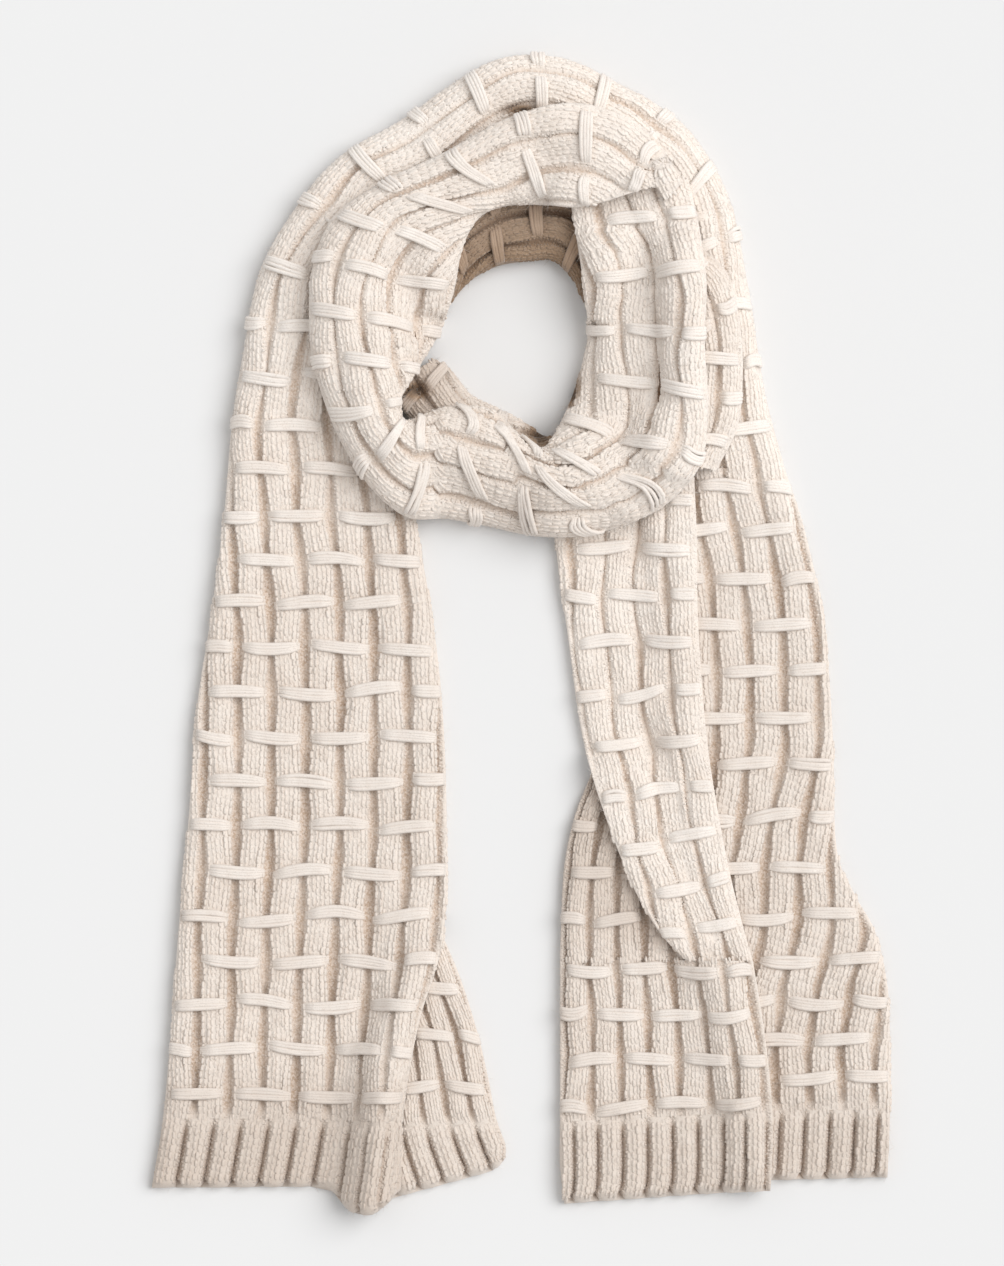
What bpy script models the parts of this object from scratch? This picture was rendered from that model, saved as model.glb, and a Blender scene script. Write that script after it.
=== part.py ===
"""A chunky knitted scarf, wound once into a neck loop and laid flat on a surface.

The scarf is a ribbed band of brushed wool.  Rows of yarn floats tie its ribs two by two,
each row one rib over from the last, and each end has a finer ribbed hem.  Every stretch
of it that shows is one closed solid with a flat foot where it rests.  The stretches are
laid in order: each one's underside is worked out from the top of what it lies on.

X runs to the right, Y towards the top of the loop and Z up.  Tables are in millimetres.
"""

import math
from collections import namedtuple

import bmesh
import bpy
import numpy as np

MM = 0.001
FLAT = 1e-7  # a point lower than this rests on the surface
SHARP_ANGLE = 38.0  # folds and grooves steeper than this are shaded sharp

# The knit
ROW_REACH = 0.24  # from a float row to the foot of its slope, as a share of a row
RIB_DEPTH = 5.0  # from a rib's crown down to the purl groove beside it
FLOAT_RISE = 2.6  # the floats' backs stand this far above the crowns
RIB_SWAY = 1.4  # how far a float draws its two ribs towards each other
RIB_POINTS = (0.0, 0.26, 0.74)  # across a rib: the groove and both sides of the crown
HEM_DEPTH = 3.6  # groove depth of the finer ribs in the hems

# How the cloth lies
SEAM_GAP = 0.3  # between the stretches of one strand
LAY_GAP = 0.6  # between a stretch and what it lies on
FOOT_INSET = 0.6  # the lowest layer's edge is set back from the outermost fold
SLIT_INSET = 2.6  # depth of the slit between the lowest layer and the rest
SLIT_HEIGHT = 6.0  # thickness of the lowest layer
SLIT_OPEN = 1.4  # opening of that slit
SHOULDER = 1.15  # width of the rounded shoulder, as a share of the rise
BASE_SHARE = 0.75  # share of the height below that still shows in the top
LEAST_WALL = 7.0  # thinnest the cloth gets over what it lies on
UNDER_STEP = 13.0  # widest step between points of an underside that isn't flat
CLEAR_REACH = 9.2  # an underside clears all that is this near in plan
WAVE_HEIGHT = 0.8  # slow unevenness of the cloth's top

# The height map that the stretches are laid on
CELL = 2.0  # side of one of its cells
MAP_X = 250.0  # half its width
MAP_Y = 360.0  # half its depth
BLUR_PASSES = 18  # how often the map is smoothed for the top of the next stretch

WOOL = (0.80, 0.745, 0.675)
WOOL_SHADE = (0.70, 0.64, 0.565)
WOOL_HEM = (0.77, 0.71, 0.635)
WOOL_ROUGHNESS = 0.95

# One cut across a strand: its outer and inner edge in plan, how high the cloth stands
# over what it lies on, and the pitch of the ribs there.
Cut = namedtuple("Cut", "outer_x outer_y inner_x inner_y rise pitch")

# One stretch of a strand: the cuts that it runs between, the share by which its middle
# lies lower than its edges, and, for a hem, the pitch of its ribs.  The other stretches
# have a hem pitch of 0, and rows of floats.
Stretch = namedtuple("Stretch", "name first last dip hem_pitch colour")

LEFT_TAIL = (
    Cut(-212, -315, -70, -314, 12, 19.0),
    Cut(-205.5, -275, -69, -276, 12, 19.0),
    Cut(-200.5, -220, -60, -222, 12, 19.0),
    Cut(-197, -172, -46, -172, 12, 19.4),
    Cut(-191, -105, -44, -105, 12, 19.4),
    Cut(-186, -40, -46.5, -40, 12, 19.4),
    Cut(-178.5, 9, -52, 9, 13, 19.4),
    Cut(-171, 66, -61.5, 66, 15, 19.4),
    Cut(-166, 122, -68, 119, 18, 19.4),
    Cut(-159, 165, -76, 160, 21, 19.4),
    Cut(-150, 208, -86, 192, 23, 19.4),
    Cut(-130, 243, -84, 214, 24, 19.4),
    Cut(-105, 272, -66, 234, 24, 19.6),
    Cut(-70, 293, -46, 252, 25, 20.0),
    Cut(-21, 325, -8, 280, 27, 20.0),
    Cut(18, 329, 16, 283, 28, 20.0),
    Cut(56.5, 312.5, 42, 270, 28, 20.0),
    Cut(92, 289, 64, 252, 27, 20.0),
    Cut(116, 250, 84, 226, 26, 20.0),
    Cut(127.5, 199, 92, 190, 24, 19.6),
    Cut(137, 139, 94, 136, 21, 19.4),
    Cut(148.5, 95, 86, 95, 16.5, 19.4),
)
LEFT_TAIL_TUCK = (
    Cut(-5, -302, -79, -322, 12, 14.0),
    Cut(-15, -278, -76, -281, 12, 14.0),
    Cut(-20, -254, -73, -254, 11, 13.5),
    Cut(-26, -228, -68, -228, 10, 13.0),
    Cut(-36, -196, -66, -196, 9, 13.0),
    Cut(-46, -172, -62, -172, 8, 13.0),
)
RIGHT_TAIL = (
    Cut(148.5, 94, 86, 94, 16.5, 19.4),
    Cut(160, 59, 85, 59, 12, 19.4),
    Cut(171, 6, 86, 7, 11, 19.4),
    Cut(176, -60, 91, -61, 11, 19.4),
    Cut(178, -121, 101, -123, 11, 18.5),
    Cut(188.5, -148, 109, -151, 11, 19.0),
    Cut(200, -169, 114, -172, 11, 19.4),
    Cut(207, -200, 118, -200, 11, 19.4),
    Cut(208.5, -236, 124, -238, 11, 19.0),
    Cut(208.5, -270, 128, -271, 11, 18.5),
    Cut(207, -309, 130, -311, 12, 18.0),
)
RIGHT_TAIL_TUCK = (
    Cut(20.5, -185, 98.5, -185, 11, 15.6),
    Cut(21, -168, 93, -168, 11, 15.4),
    Cut(23, -131, 80, -131, 11, 15.0),
    Cut(29, -103, 66, -103, 10, 15.0),
    Cut(38, -80, 54, -80, 8, 15.0),
)
RIGHT_FOLD = (
    Cut(96, 100, 20, 100, 11, 18.0),
    Cut(98, 59, 17.5, 60, 10, 18.5),
    Cut(99, 6, 24.5, 3, 10, 18.5),
    Cut(104, -60, 35.5, -68, 10, 17.5),
    Cut(114, -121, 58, -134, 9, 16.5),
    Cut(123, -160, 76, -167.5, 7.5, 15.8),
    Cut(130, -185, 92, -185, 6.5, 15.6),
)
FOLD_END = (
    Cut(130, -185.3, 20.5, -185.3, 11, 15.6),
    Cut(135, -215, 20.5, -215, 11, 16.0),
    Cut(139, -245, 20.5, -246, 11, 16.6),
    Cut(141, -271, 20.5, -277, 11, 17.0),
    Cut(141, -294, 20.5, -302, 12, 17.0),
    Cut(140, -316, 23, -324, 12, 17.0),
)
UPPER_TURN = (
    Cut(93, 258, 25, 252, 16, 19.5),
    Cut(98, 236, 29, 230, 22, 20.0),
    Cut(103, 200, 34, 196, 28, 20.5),
    Cut(102, 165, 36, 168, 30, 20.5),
    Cut(104, 130, 29.5, 142, 30, 20.5),
    Cut(100, 97, 20, 119, 30, 21.0),
    Cut(82, 75, 12, 107, 30, 21.5),
    Cut(59, 63, 4, 108, 29, 21.5),
    Cut(33, 56.5, -5, 116, 28, 21.5),
    Cut(7, 56, -15, 126, 27, 21.5),
    Cut(-19, 61.5, -30, 130, 26, 21.0),
    Cut(-43, 66, -46, 129, 26, 21.0),
    Cut(-67, 67, -59, 124, 26, 20.5),
    Cut(-89, 86, -67, 122, 26, 20.0),
    Cut(-107, 116, -71, 130, 27, 19.5),
    Cut(-119, 152, -62, 148, 28, 19.0),
    Cut(-122, 182, -49, 170, 28, 19.0),
    Cut(-119, 212, -40, 194, 28, 19.0),
    Cut(-107, 238, -35, 219, 28, 19.5),
    Cut(-79, 257, -26, 236, 27, 20.0),
    Cut(-44, 274, -12, 243, 27, 20.5),
    Cut(-6, 294, 8, 244, 28, 21.0),
    Cut(28, 301, 28, 242, 26, 21.0),
    Cut(58, 293, 45, 245, 19, 20.0),
    Cut(76, 279, 61, 250, 13, 19.0),
    Cut(84, 265, 74, 253, 8, 18.0),
)
TURN_FLANK = (
    Cut(97, 222, 84, 208, 12, 16.5),
    Cut(115, 205, 90, 188, 16, 16.5),
    Cut(122, 178, 92, 168, 19, 16.5),
    Cut(124, 148, 90, 142, 20, 16.5),
    Cut(121, 118, 84, 118, 19, 16.5),
    Cut(109, 93, 74, 102, 15, 16.5),
)
INNER_TOP = (
    Cut(-52, 213, -41, 190, 14, 17.5),
    Cut(-41, 233, -30, 202, 17, 17.5),
    Cut(-20, 248, -15, 210, 18, 17.5),
    Cut(3, 253, 3, 213, 18, 17.5),
    Cut(27, 252, 17, 213, 18, 17.5),
    Cut(46, 240, 28, 202, 16, 17.5),
    Cut(54, 222, 34, 189, 11, 17.5),
)
INNER_BOTTOM = (
    Cut(34, 98, 26, 118, 13, 17.0),
    Cut(14, 88, 13, 113, 16, 17.0),
    Cut(-7, 89, -1, 122, 18, 17.0),
    Cut(-30, 97, -15, 129, 18, 17.0),
    Cut(-50, 110, -29, 136, 18, 17.0),
    Cut(-66, 125, -40, 149, 16, 17.0),
    Cut(-77, 141, -50, 157, 13, 17.0),
)

# A soft ridge in the laid cloth, or a trough where its height is below 0: the line that
# it follows in plan, how far it reaches to each side, and its height at either end.
Ridge = namedtuple("Ridge", "start_x start_y end_x end_y reach start_height end_height")

PLEAT = (
    Ridge(-57, -178, -81, -245, 20, 1, 11),
    Ridge(-81, -245, -92, -325, 23, 11, 17),
)
FOLD_CREASE = (
    Ridge(106, -185, 120, -255, 26, 7, 3),
    Ridge(120, -255, 127, -318, 22, 3, 3),
)
PLEAT_LEAN = 0.9  # the pleat's hem pushes out by this share of its height

# Where the knit is at a cut: the number of the float row there, and that of the groove
# at the outer edge.  Even rows tie the even grooves.  A groove number that falls from
# cut to cut lets new ribs come in over the outer edge.
Knit = namedtuple("Knit", "cut row groove")

# One strand: its cuts; where the knit is at some of them; its ridges; the names of
# earlier stretches that it only meets edge to edge; and its own stretches.
Run = namedtuple("Run", "cuts knit ridges beside stretches")

LEFT_TAIL_KNIT = (
    Knit(0, 0.84, 0.0),
    Knit(1, 2.46, 0.0),
    Knit(2, 4.6, 0.12),
    Knit(3, 6.55, 0.3),
    Knit(4, 9.16, 0.5),
    Knit(5, 11.7, 0.7),
    Knit(6, 13.65, 1.1),
    Knit(7, 15.93, 1.7),
    Knit(8, 18.1, 2.0),
    Knit(10, 20.9, 2.0),
    Knit(21, 33.7, 2.0),
)
RIGHT_TAIL_KNIT = (
    Knit(0, -0.4, 0.0),
    Knit(1, 1.0, -0.2),
    Knit(3, 5.5, -0.5),
    Knit(4, 7.68, -1.2),
    Knit(5, 8.7, -1.8),
    Knit(6, 9.4, -2.4),
    Knit(7, 10.6, -3.2),
    Knit(8, 12.4, -3.6),
    Knit(9, 13.9, -3.6),
    Knit(10, 15.4, -3.6),
)
UPPER_TURN_KNIT = (
    Knit(0, -0.8, 0.0),
    Knit(1, 0.1, 0.0),
    Knit(4, 3.2, 0.0),
    Knit(6, 4.85, 0.0),
    Knit(9, 7.0, 0.0),
    Knit(12, 9.2, 0.0),
    Knit(15, 11.85, 0.0),
    Knit(19, 16.0, 0.0),
    Knit(21, 17.9, 0.0),
    Knit(25, 20.4, 0.0),
)

# The strands in the order that they are laid.
RUNS = (
    Run(
        INNER_BOTTOM,
        (Knit(0, 0.0, 0.0), Knit(6, 4.4, 0.0)),
        (),
        (),
        (Stretch("inner_bottom", 0, 6, 0.0, 0, WOOL_SHADE),),
    ),
    Run(
        INNER_TOP,
        (Knit(0, 0.3, 0.0), Knit(6, 5.0, 0.0)),
        (),
        (),
        (Stretch("inner_top", 0, 6, 0.0, 0, WOOL_SHADE),),
    ),
    Run(
        LEFT_TAIL_TUCK,
        (Knit(0, -1.0, -0.1), Knit(1, 0.24, -0.1), Knit(5, 3.96, -0.1)),
        (),
        (),
        (
            Stretch("hem_left_tuck", 0, 1, 0.1, 14.0, WOOL_HEM),
            Stretch("tail_left_tuck", 1, 5, 0.1, 0, WOOL_SHADE),
        ),
    ),
    Run(
        RIGHT_TAIL_TUCK,
        (Knit(0, 0.2, 0.28), Knit(4, 4.0, 0.28)),
        (),
        (),
        (Stretch("tail_right_tuck", 0, 4, 0.1, 0, WOOL_SHADE),),
    ),
    Run(
        LEFT_TAIL,
        LEFT_TAIL_KNIT,
        PLEAT,
        (),
        (
            Stretch("hem_left", 0, 1, 0.3, 15.5, WOOL_HEM),
            Stretch("tail_left", 1, 7, 0.25, 0, WOOL),
            Stretch("turn_left", 7, 12, 0.1, 0, WOOL),
            Stretch("turn_top", 12, 18, 0.0, 0, WOOL),
            Stretch("turn_right", 18, 21, 0.0, 0, WOOL),
        ),
    ),
    Run(
        RIGHT_TAIL,
        RIGHT_TAIL_KNIT,
        (),
        ("turn_right",),
        (
            Stretch("tail_right", 0, 9, 0.2, 0, WOOL),
            Stretch("hem_right", 9, 10, 0.3, 14.0, WOOL_HEM),
        ),
    ),
    Run(
        RIGHT_FOLD,
        (Knit(0, -10.9, 0.0), Knit(2, -7.3, 0.0), Knit(4, -2.6, 0.0), Knit(6, -0.2, 0.0)),
        (),
        (),
        (Stretch("tail_right_fold", 0, 6, 0.1, 0, WOOL),),
    ),
    Run(
        FOLD_END,
        (Knit(0, -0.2, -0.2), Knit(3, 3.3, -0.2), Knit(5, 5.0, -0.2)),
        FOLD_CREASE,
        ("tail_right_tuck", "tail_right_fold"),
        (
            Stretch("fold_end", 0, 3, 0.15, 0, WOOL),
            Stretch("hem_fold", 3, 5, 0.2, 14.2, WOOL_HEM),
        ),
    ),
    Run(
        TURN_FLANK,
        (Knit(0, 0.5, 0.0), Knit(5, 5.6, 0.0)),
        (),
        (),
        (Stretch("loop_flank", 0, 5, 0.0, 0, WOOL),),
    ),
    Run(
        UPPER_TURN,
        UPPER_TURN_KNIT,
        (),
        (),
        (
            Stretch("loop_right", 0, 5, 0.0, 0, WOOL),
            Stretch("loop_bottom", 5, 12, 0.0, 0, WOOL),
            Stretch("loop_left", 12, 18, 0.0, 0, WOOL),
            Stretch("loop_top", 18, 25, 0.0, 0, WOOL),
        ),
    ),
)


def smooth_step(x):
    """0 below 0, 1 above 1, with a soft start and end."""
    x = np.clip(x, 0.0, 1.0)
    return x * x * (3.0 - 2.0 * x)


class Strand:
    """A strand's cuts as one smooth run, measured along the middle of the strand."""

    FINE = 24  # steps between two cuts for measuring

    def __init__(self, cuts, knit):
        self.cuts = np.array(cuts, float)
        places = np.linspace(0, len(cuts) - 1, (len(cuts) - 1) * self.FINE + 1)
        cut = self.at_place(places)
        middle = (cut[:, 0:2] + cut[:, 2:4]) / 2
        steps = np.linalg.norm(np.diff(middle, axis=0), axis=1)
        self.places = places
        self.runs = np.concatenate(([0.0], np.cumsum(steps)))
        self.marks = [self.run_at(mark.cut) for mark in knit]
        self.numbers = [mark.row for mark in knit]
        self.grooves = [mark.groove for mark in knit]

    def at_place(self, places):
        """Rows of the table at fractional places, on Catmull-Rom curves."""
        last = len(self.cuts) - 1
        i = np.clip(np.floor(places).astype(int), 0, last - 1)
        t = (places - i)[:, None]
        p1, p2 = self.cuts[i], self.cuts[i + 1]
        p0 = np.where((i > 0)[:, None], self.cuts[np.maximum(i - 1, 0)], 2 * p1 - p2)
        after = self.cuts[np.minimum(i + 2, last)]
        p3 = np.where((i + 2 <= last)[:, None], after, 2 * p2 - p1)
        slope1, slope2 = (p2 - p0) / 2, (p3 - p1) / 2
        a = 2 * p1 - 2 * p2 + slope1 + slope2
        b = 3 * p2 - 3 * p1 - 2 * slope1 - slope2
        return ((a * t + b) * t + slope1) * t + p1

    def run_at(self, place):
        return float(np.interp(place, self.places, self.runs))

    def at_run(self, runs):
        return self.at_place(np.interp(runs, self.runs, self.places))

    def row_at(self, runs):
        """The float rows' numbers at runs: whole on a row, and between them in between."""
        return np.interp(runs, self.marks, self.numbers)

    def groove_at(self, runs):
        """The number of the groove at the outer edge, at runs."""
        return np.interp(runs, self.marks, self.grooves)


class HeightMap:
    """The tops of the stretches laid so far, each kept as a map of its own."""

    def __init__(self):
        self.shape = (int(2 * MAP_X / CELL), int(2 * MAP_Y / CELL))
        self.tops = {}

    def cells(self, x, y):
        i = np.clip(((x + MAP_X) / CELL).astype(int), 0, self.shape[0] - 1)
        j = np.clip(((y + MAP_Y) / CELL).astype(int), 0, self.shape[1] - 1)
        return i, j

    def add(self, name, grid):
        """Marks the faces between the rows of points in grid, and the cells beside them."""
        top = np.zeros(self.shape)
        for a in np.linspace(0, 1, 9):
            for b in np.linspace(0, 1, 5):
                p = bilinear(grid, a, b).reshape(-1, 3)
                i, j = self.cells(p[:, 0], p[:, 1])
                np.maximum.at(top, (i, j), p[:, 2])
        wide = top.copy()
        for di in (-1, 0, 1):
            for dj in (-1, 0, 1):
                wide = np.maximum(wide, np.roll(top, (di, dj), (0, 1)))
        self.tops[name] = wide

    def under(self, beside):
        """The height of everything laid so far and near, but for what only lies beside."""
        top = np.zeros(self.shape)
        for name, one in self.tops.items():
            if name not in beside:
                top = np.maximum(top, one)
        wide = top.copy()
        reach = int(CLEAR_REACH / CELL) + 1
        for di in range(-reach, reach + 1):
            for dj in range(-reach, reach + 1):
                if math.hypot(di, dj) * CELL <= CLEAR_REACH:
                    wide = np.maximum(wide, np.roll(top, (di, dj), (0, 1)))
        return wide


def bilinear(grid, a, b):
    """Points in every cell of a grid, at the shares a along and b across."""
    low = grid[:-1, :-1] * (1 - b) + grid[:-1, 1:] * b
    high = grid[1:, :-1] * (1 - b) + grid[1:, 1:] * b
    return low * (1 - a) + high * a


def blurred(top):
    """The height map with its steps smoothed away."""
    for _ in range(BLUR_PASSES):
        top = (top + np.roll(top, 1, 0) + np.roll(top, -1, 0)) / 3
        top = (top + np.roll(top, 1, 1) + np.roll(top, -1, 1)) / 3
    return top


def ridge_height(ridges, x, y):
    """Height that a strand's ridges add at a place; only the strongest one counts."""
    best = 0.0
    for ridge in ridges:
        run_x, run_y = ridge.end_x - ridge.start_x, ridge.end_y - ridge.start_y
        length = math.hypot(run_x, run_y)
        along = ((x - ridge.start_x) * run_x + (y - ridge.start_y) * run_y) / length**2
        share = min(max(along, 0.0), 1.0)
        away = math.hypot(x - ridge.start_x - share * run_x, y - ridge.start_y - share * run_y)
        high = ridge.start_height + (ridge.end_height - ridge.start_height) * share
        high *= 1.0 - smooth_step(away / ridge.reach)
        if abs(high) > abs(best):
            best = high
    return best


def section_runs(strand, start, end, is_hem):
    """Where a stretch is cut across: both its ends and three times in each float row."""
    if is_hem:
        return np.linspace(start, end, 6)
    first, last = strand.row_at([start, end])
    runs = [start, end]
    for row in range(math.floor(first), math.ceil(last) + 1):
        for reach in (-ROW_REACH, 0.0, ROW_REACH):
            run = float(np.interp(row + reach, strand.numbers, strand.marks))
            if start + 2.5 < run < end - 2.5:
                runs.append(run)
    return np.array(sorted(runs))


def relief(rib, row, is_hem):
    """Height of the ribs and floats over the crowns, and the sideways sway, at a rib
    coordinate (whole numbers are the grooves) and a row coordinate along the strand."""
    depth = HEM_DEPTH if is_hem else RIB_DEPTH
    across = rib - math.floor(rib)
    groove = 1.0 - smooth_step(min(across, 1.0 - across) / 0.3)
    height = -depth * groove
    if is_hem:
        return height, 0.0
    nearest = round(row)
    in_row = 1.0 - smooth_step(abs(row - nearest) / ROW_REACH)
    # The floats of this row lie over the grooves that have the row's parity.
    tied = round((rib - nearest) / 2) * 2 + nearest
    on_float = 1.0 - smooth_step((abs(rib - tied) - 0.55) / 0.4)
    height += in_row * on_float * (FLOAT_RISE - height)
    # Each rib leans towards the groove that the row ties.
    side = -1.0 if (math.floor(rib) - nearest) % 2 else 1.0
    sway = -side * math.cos(math.pi * (row - nearest)) * RIB_SWAY
    return height, sway * (1.0 - groove)


def drawn_in(along, first, last, whole, pitch):
    """A point's place on a section of the length whole, with the ribs from first to last
    drawn together towards the edges until they all fit."""
    room = min(1.2 * pitch, 0.5 * whole)
    keep = whole - room
    if along > keep:
        full = 1 - math.exp(-max(last - keep, 1e-6) / room)
        along = keep + room * (1 - math.exp(-(along - keep) / room)) / full
    room = min(1.2 * pitch, 0.5 * whole, -1.2 * first)
    if along < room:
        full = 1 - math.exp(-(room - first) / room)
        along = room - room * (1 - math.exp(-(room - along) / room)) / full
    return along


def wave(x, y):
    """Slow unevenness of the laid cloth."""
    long_wave = math.sin(x / 31.0 + 1.3 * math.sin(y / 47.0))
    cross_wave = math.sin(y / 26.0 + 1.7 * math.sin(x / 39.0) + 0.8)
    return WAVE_HEIGHT * (long_wave + cross_wave) / 2


class Laid:
    """One stretch, laid on a height map: its points, section by section."""

    def __init__(self, stretch, strand, ridges, beside, laid):
        self.stretch = stretch
        self.ridges = ridges
        start, end = strand.run_at(stretch.first), strand.run_at(stretch.last)
        if stretch.first > 0:
            start += SEAM_GAP / 2
        if stretch.last < len(strand.cuts) - 1:
            end -= SEAM_GAP / 2
        self.runs = section_runs(strand, start, end, stretch.hem_pitch > 0)
        self.numbers = strand.row_at(self.runs)
        self.grooves = strand.groove_at(self.runs)
        self.rows = strand.at_run(self.runs)
        if stretch.hem_pitch > 0:
            self.rows[:, 5] = stretch.hem_pitch
        self.widths = np.linalg.norm(self.rows[:, 2:4] - self.rows[:, 0:2], axis=1)
        below = laid.under(beside)
        self.lay_under(below, laid)
        soft = blurred(below)
        whole = [self.profile(i, soft, laid)[1][-1] for i in range(len(self.rows))]
        low = min(self.grooves)
        high = max(g + length / row[5] for g, length, row in zip(self.grooves, whole, self.rows))
        ribs = [r + p for r in range(math.floor(low), math.ceil(high)) for p in RIB_POINTS]
        self.places = [rib for rib in ribs if low <= rib <= high]
        self.tops = np.array([self.top(i, soft, laid) for i in range(len(self.rows))])
        laid.add(stretch.name, self.tops)

    def across(self, i, share):
        """Plan point at a share of the way from the outer to the inner edge."""
        row = self.rows[i]
        return row[0:2] + (row[2:4] - row[0:2]) * share

    def lay_under(self, below, laid):
        """Sets the height of the underside at its points."""
        inset = np.minimum(FOOT_INSET / self.widths, 0.1)
        count = int(math.ceil(self.widths.max() / UNDER_STEP)) + 1
        self.shares = np.array([np.linspace(s, 1 - s, count) for s in inset])
        plan = np.array([[self.across(i, s) for s in row] for i, row in enumerate(self.shares)])
        heights = below[laid.cells(plan[..., 0], plan[..., 1])]
        heights = np.where(heights > 0, heights + LAY_GAP, 0.0)
        for i, row in enumerate(plan):
            for j, (x, y) in enumerate(row):
                heights[i, j] = max(heights[i, j], ridge_height(self.ridges, x, y) - 2.0, 0.0)
        if heights.max() <= 0:
            self.shares = self.shares[:, [0, -1]]
            heights = heights[:, [0, -1]]
        self.under = heights

    def profile(self, i, soft, laid):
        """The rib crowns across section i: dense points (distance across, height) and
        the length measured along them."""
        width, rise = self.widths[i], self.rows[i][4]
        slit = min(SLIT_HEIGHT, 0.42 * rise) + SLIT_OPEN
        foot_out, foot_in = self.under[i][0], self.under[i][-1]
        shoulder = min(width / 2, SHOULDER * rise)
        turn = np.linspace(0, math.pi / 2, 24)
        side = shoulder * (1 - np.cos(turn))
        flat = np.linspace(shoulder, width - shoulder, 30)[1:-1]
        across = np.concatenate((side, flat, width - side[::-1]))
        swell = np.concatenate((np.sin(turn), np.ones(len(flat)), np.sin(turn)[::-1]))
        heights = []
        for d, s in zip(across, swell):
            x, y = self.across(i, d / width)
            floor = np.interp(d / width, self.shares[i], self.under[i])
            base = BASE_SHARE * soft[laid.cells(np.array(x), np.array(y))]
            middle = 1 - (2 * d / width - 1) ** 2
            crown = base + rise * (1 - self.stretch.dip * middle) + wave(x, y)
            crown += ridge_height(self.ridges, x, y)
            crown = max(crown, floor + LEAST_WALL)
            foot = (foot_out if d < width / 2 else foot_in) + slit
            foot = min(foot, crown)
            heights.append(foot + (crown - foot) * s)
        points = np.column_stack((across, heights))
        steps = np.linalg.norm(np.diff(points, axis=0), axis=1)
        return points, np.concatenate(([0.0], np.cumsum(steps)))

    def top(self, i, soft, laid):
        """Section i from the slit on the outer side, over the ribs, to the inner slit."""
        points, runs = self.profile(i, soft, laid)
        width, rise = self.widths[i], self.rows[i][4]
        whole = runs[-1]
        slit = min(SLIT_HEIGHT, 0.42 * rise)
        section = []
        foot = self.under[i][0]
        section.append(self.point(i, SLIT_INSET / width, foot + slit))
        pitch = self.rows[i][5]
        reach = [(rib - self.grooves[i]) * pitch for rib in self.places]
        for rib, along in zip(self.places, reach):
            height, sway = relief(rib, self.numbers[i], self.stretch.hem_pitch > 0)
            fade = smooth_step(min(along, whole - along) / (0.5 * pitch))
            along = drawn_in(along, reach[0], reach[-1], whole, pitch)
            at_edge = smooth_step(min(along, whole - along) / (0.35 * pitch))
            along = min(max(along + sway * at_edge, 0.0), whole)
            k = min(max(int(np.searchsorted(runs, along)), 1), len(runs) - 1)
            share = (along - runs[k - 1]) / max(runs[k] - runs[k - 1], 1e-9)
            here = points[k - 1] + (points[k] - points[k - 1]) * share
            tangent = (points[k] - points[k - 1]) / max(runs[k] - runs[k - 1], 1e-9)
            height *= fade
            d = here[0] - tangent[1] * height
            z = here[1] + tangent[0] * height
            floor = np.interp(d / width, self.shares[i], self.under[i]) + LEAST_WALL / 2
            section.append(self.point(i, d / width, max(z, floor)))
        foot = self.under[i][-1]
        section.append(self.point(i, 1 - SLIT_INSET / width, foot + slit))
        return section

    def point(self, i, share, z):
        x, y = self.across(i, share)
        if self.stretch.hem_pitch > 0:
            out = (self.runs[-1] - self.runs[i]) / (self.runs[-1] - self.runs[0])
            y -= PLEAT_LEAN * out * max(ridge_height(self.ridges, x, y), 0.0)
        return (x, y, z)

    def rings(self):
        """Closed rings of points, one a section: over the top, then back underneath."""
        rings = []
        for i, top in enumerate(self.tops):
            under = [self.point(i, s, z) for s, z in zip(self.shares[i], self.under[i])]
            rings.append([tuple(p) for p in top] + under[::-1])
        return rings


def wool_material(name, colour):
    """Brushed wool: rough, with no gloss."""
    material = bpy.data.materials.new(name)
    material.use_nodes = True
    shader = material.node_tree.nodes["Principled BSDF"]
    shader.inputs["Base Color"].default_value = (*colour, 1.0)
    shader.inputs["Roughness"].default_value = WOOL_ROUGHNESS
    shader.inputs["Metallic"].default_value = 0.0
    return material


def add_solid(name, rings, colour):
    """Joins the rings of a stretch into one closed solid."""
    mesh = bpy.data.meshes.new(name)
    form = bmesh.new()
    loops = [[form.verts.new([c * MM for c in p]) for p in ring] for ring in rings]
    for low, high in zip(loops, loops[1:]):
        count = len(low)
        for a in range(count):
            b = (a + 1) % count
            form.faces.new((low[a], low[b], high[b], high[a]))
    form.faces.new(loops[0][::-1])
    form.faces.new(loops[-1])
    bmesh.ops.recalc_face_normals(form, faces=form.faces)
    flat = [f for f in form.faces if max(abs(v.co.z) for v in f.verts) < FLAT]
    edges = {e for f in flat for e in f.edges if all(g in flat for g in e.link_faces)}
    bmesh.ops.dissolve_edges(form, edges=list(edges), use_verts=True)
    form.to_mesh(mesh)
    form.free()
    mesh.shade_smooth()
    mesh.set_sharp_from_angle(angle=math.radians(SHARP_ANGLE))
    mesh.materials.append(wool_material("wool_" + name, colour))
    bpy.context.scene.collection.objects.link(bpy.data.objects.new(name, mesh))


for old in list(bpy.data.objects):
    bpy.data.objects.remove(old)

laid = HeightMap()
for run in RUNS:
    strand = Strand(run.cuts, run.knit)
    for place, stretch in enumerate(run.stretches):
        next_to = set(run.beside)
        if place > 0:
            next_to.add(run.stretches[place - 1].name)
        piece = Laid(stretch, strand, run.ridges, next_to, laid)
        add_solid(stretch.name, piece.rings(), stretch.colour)
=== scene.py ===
import math
from collections import namedtuple

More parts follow.
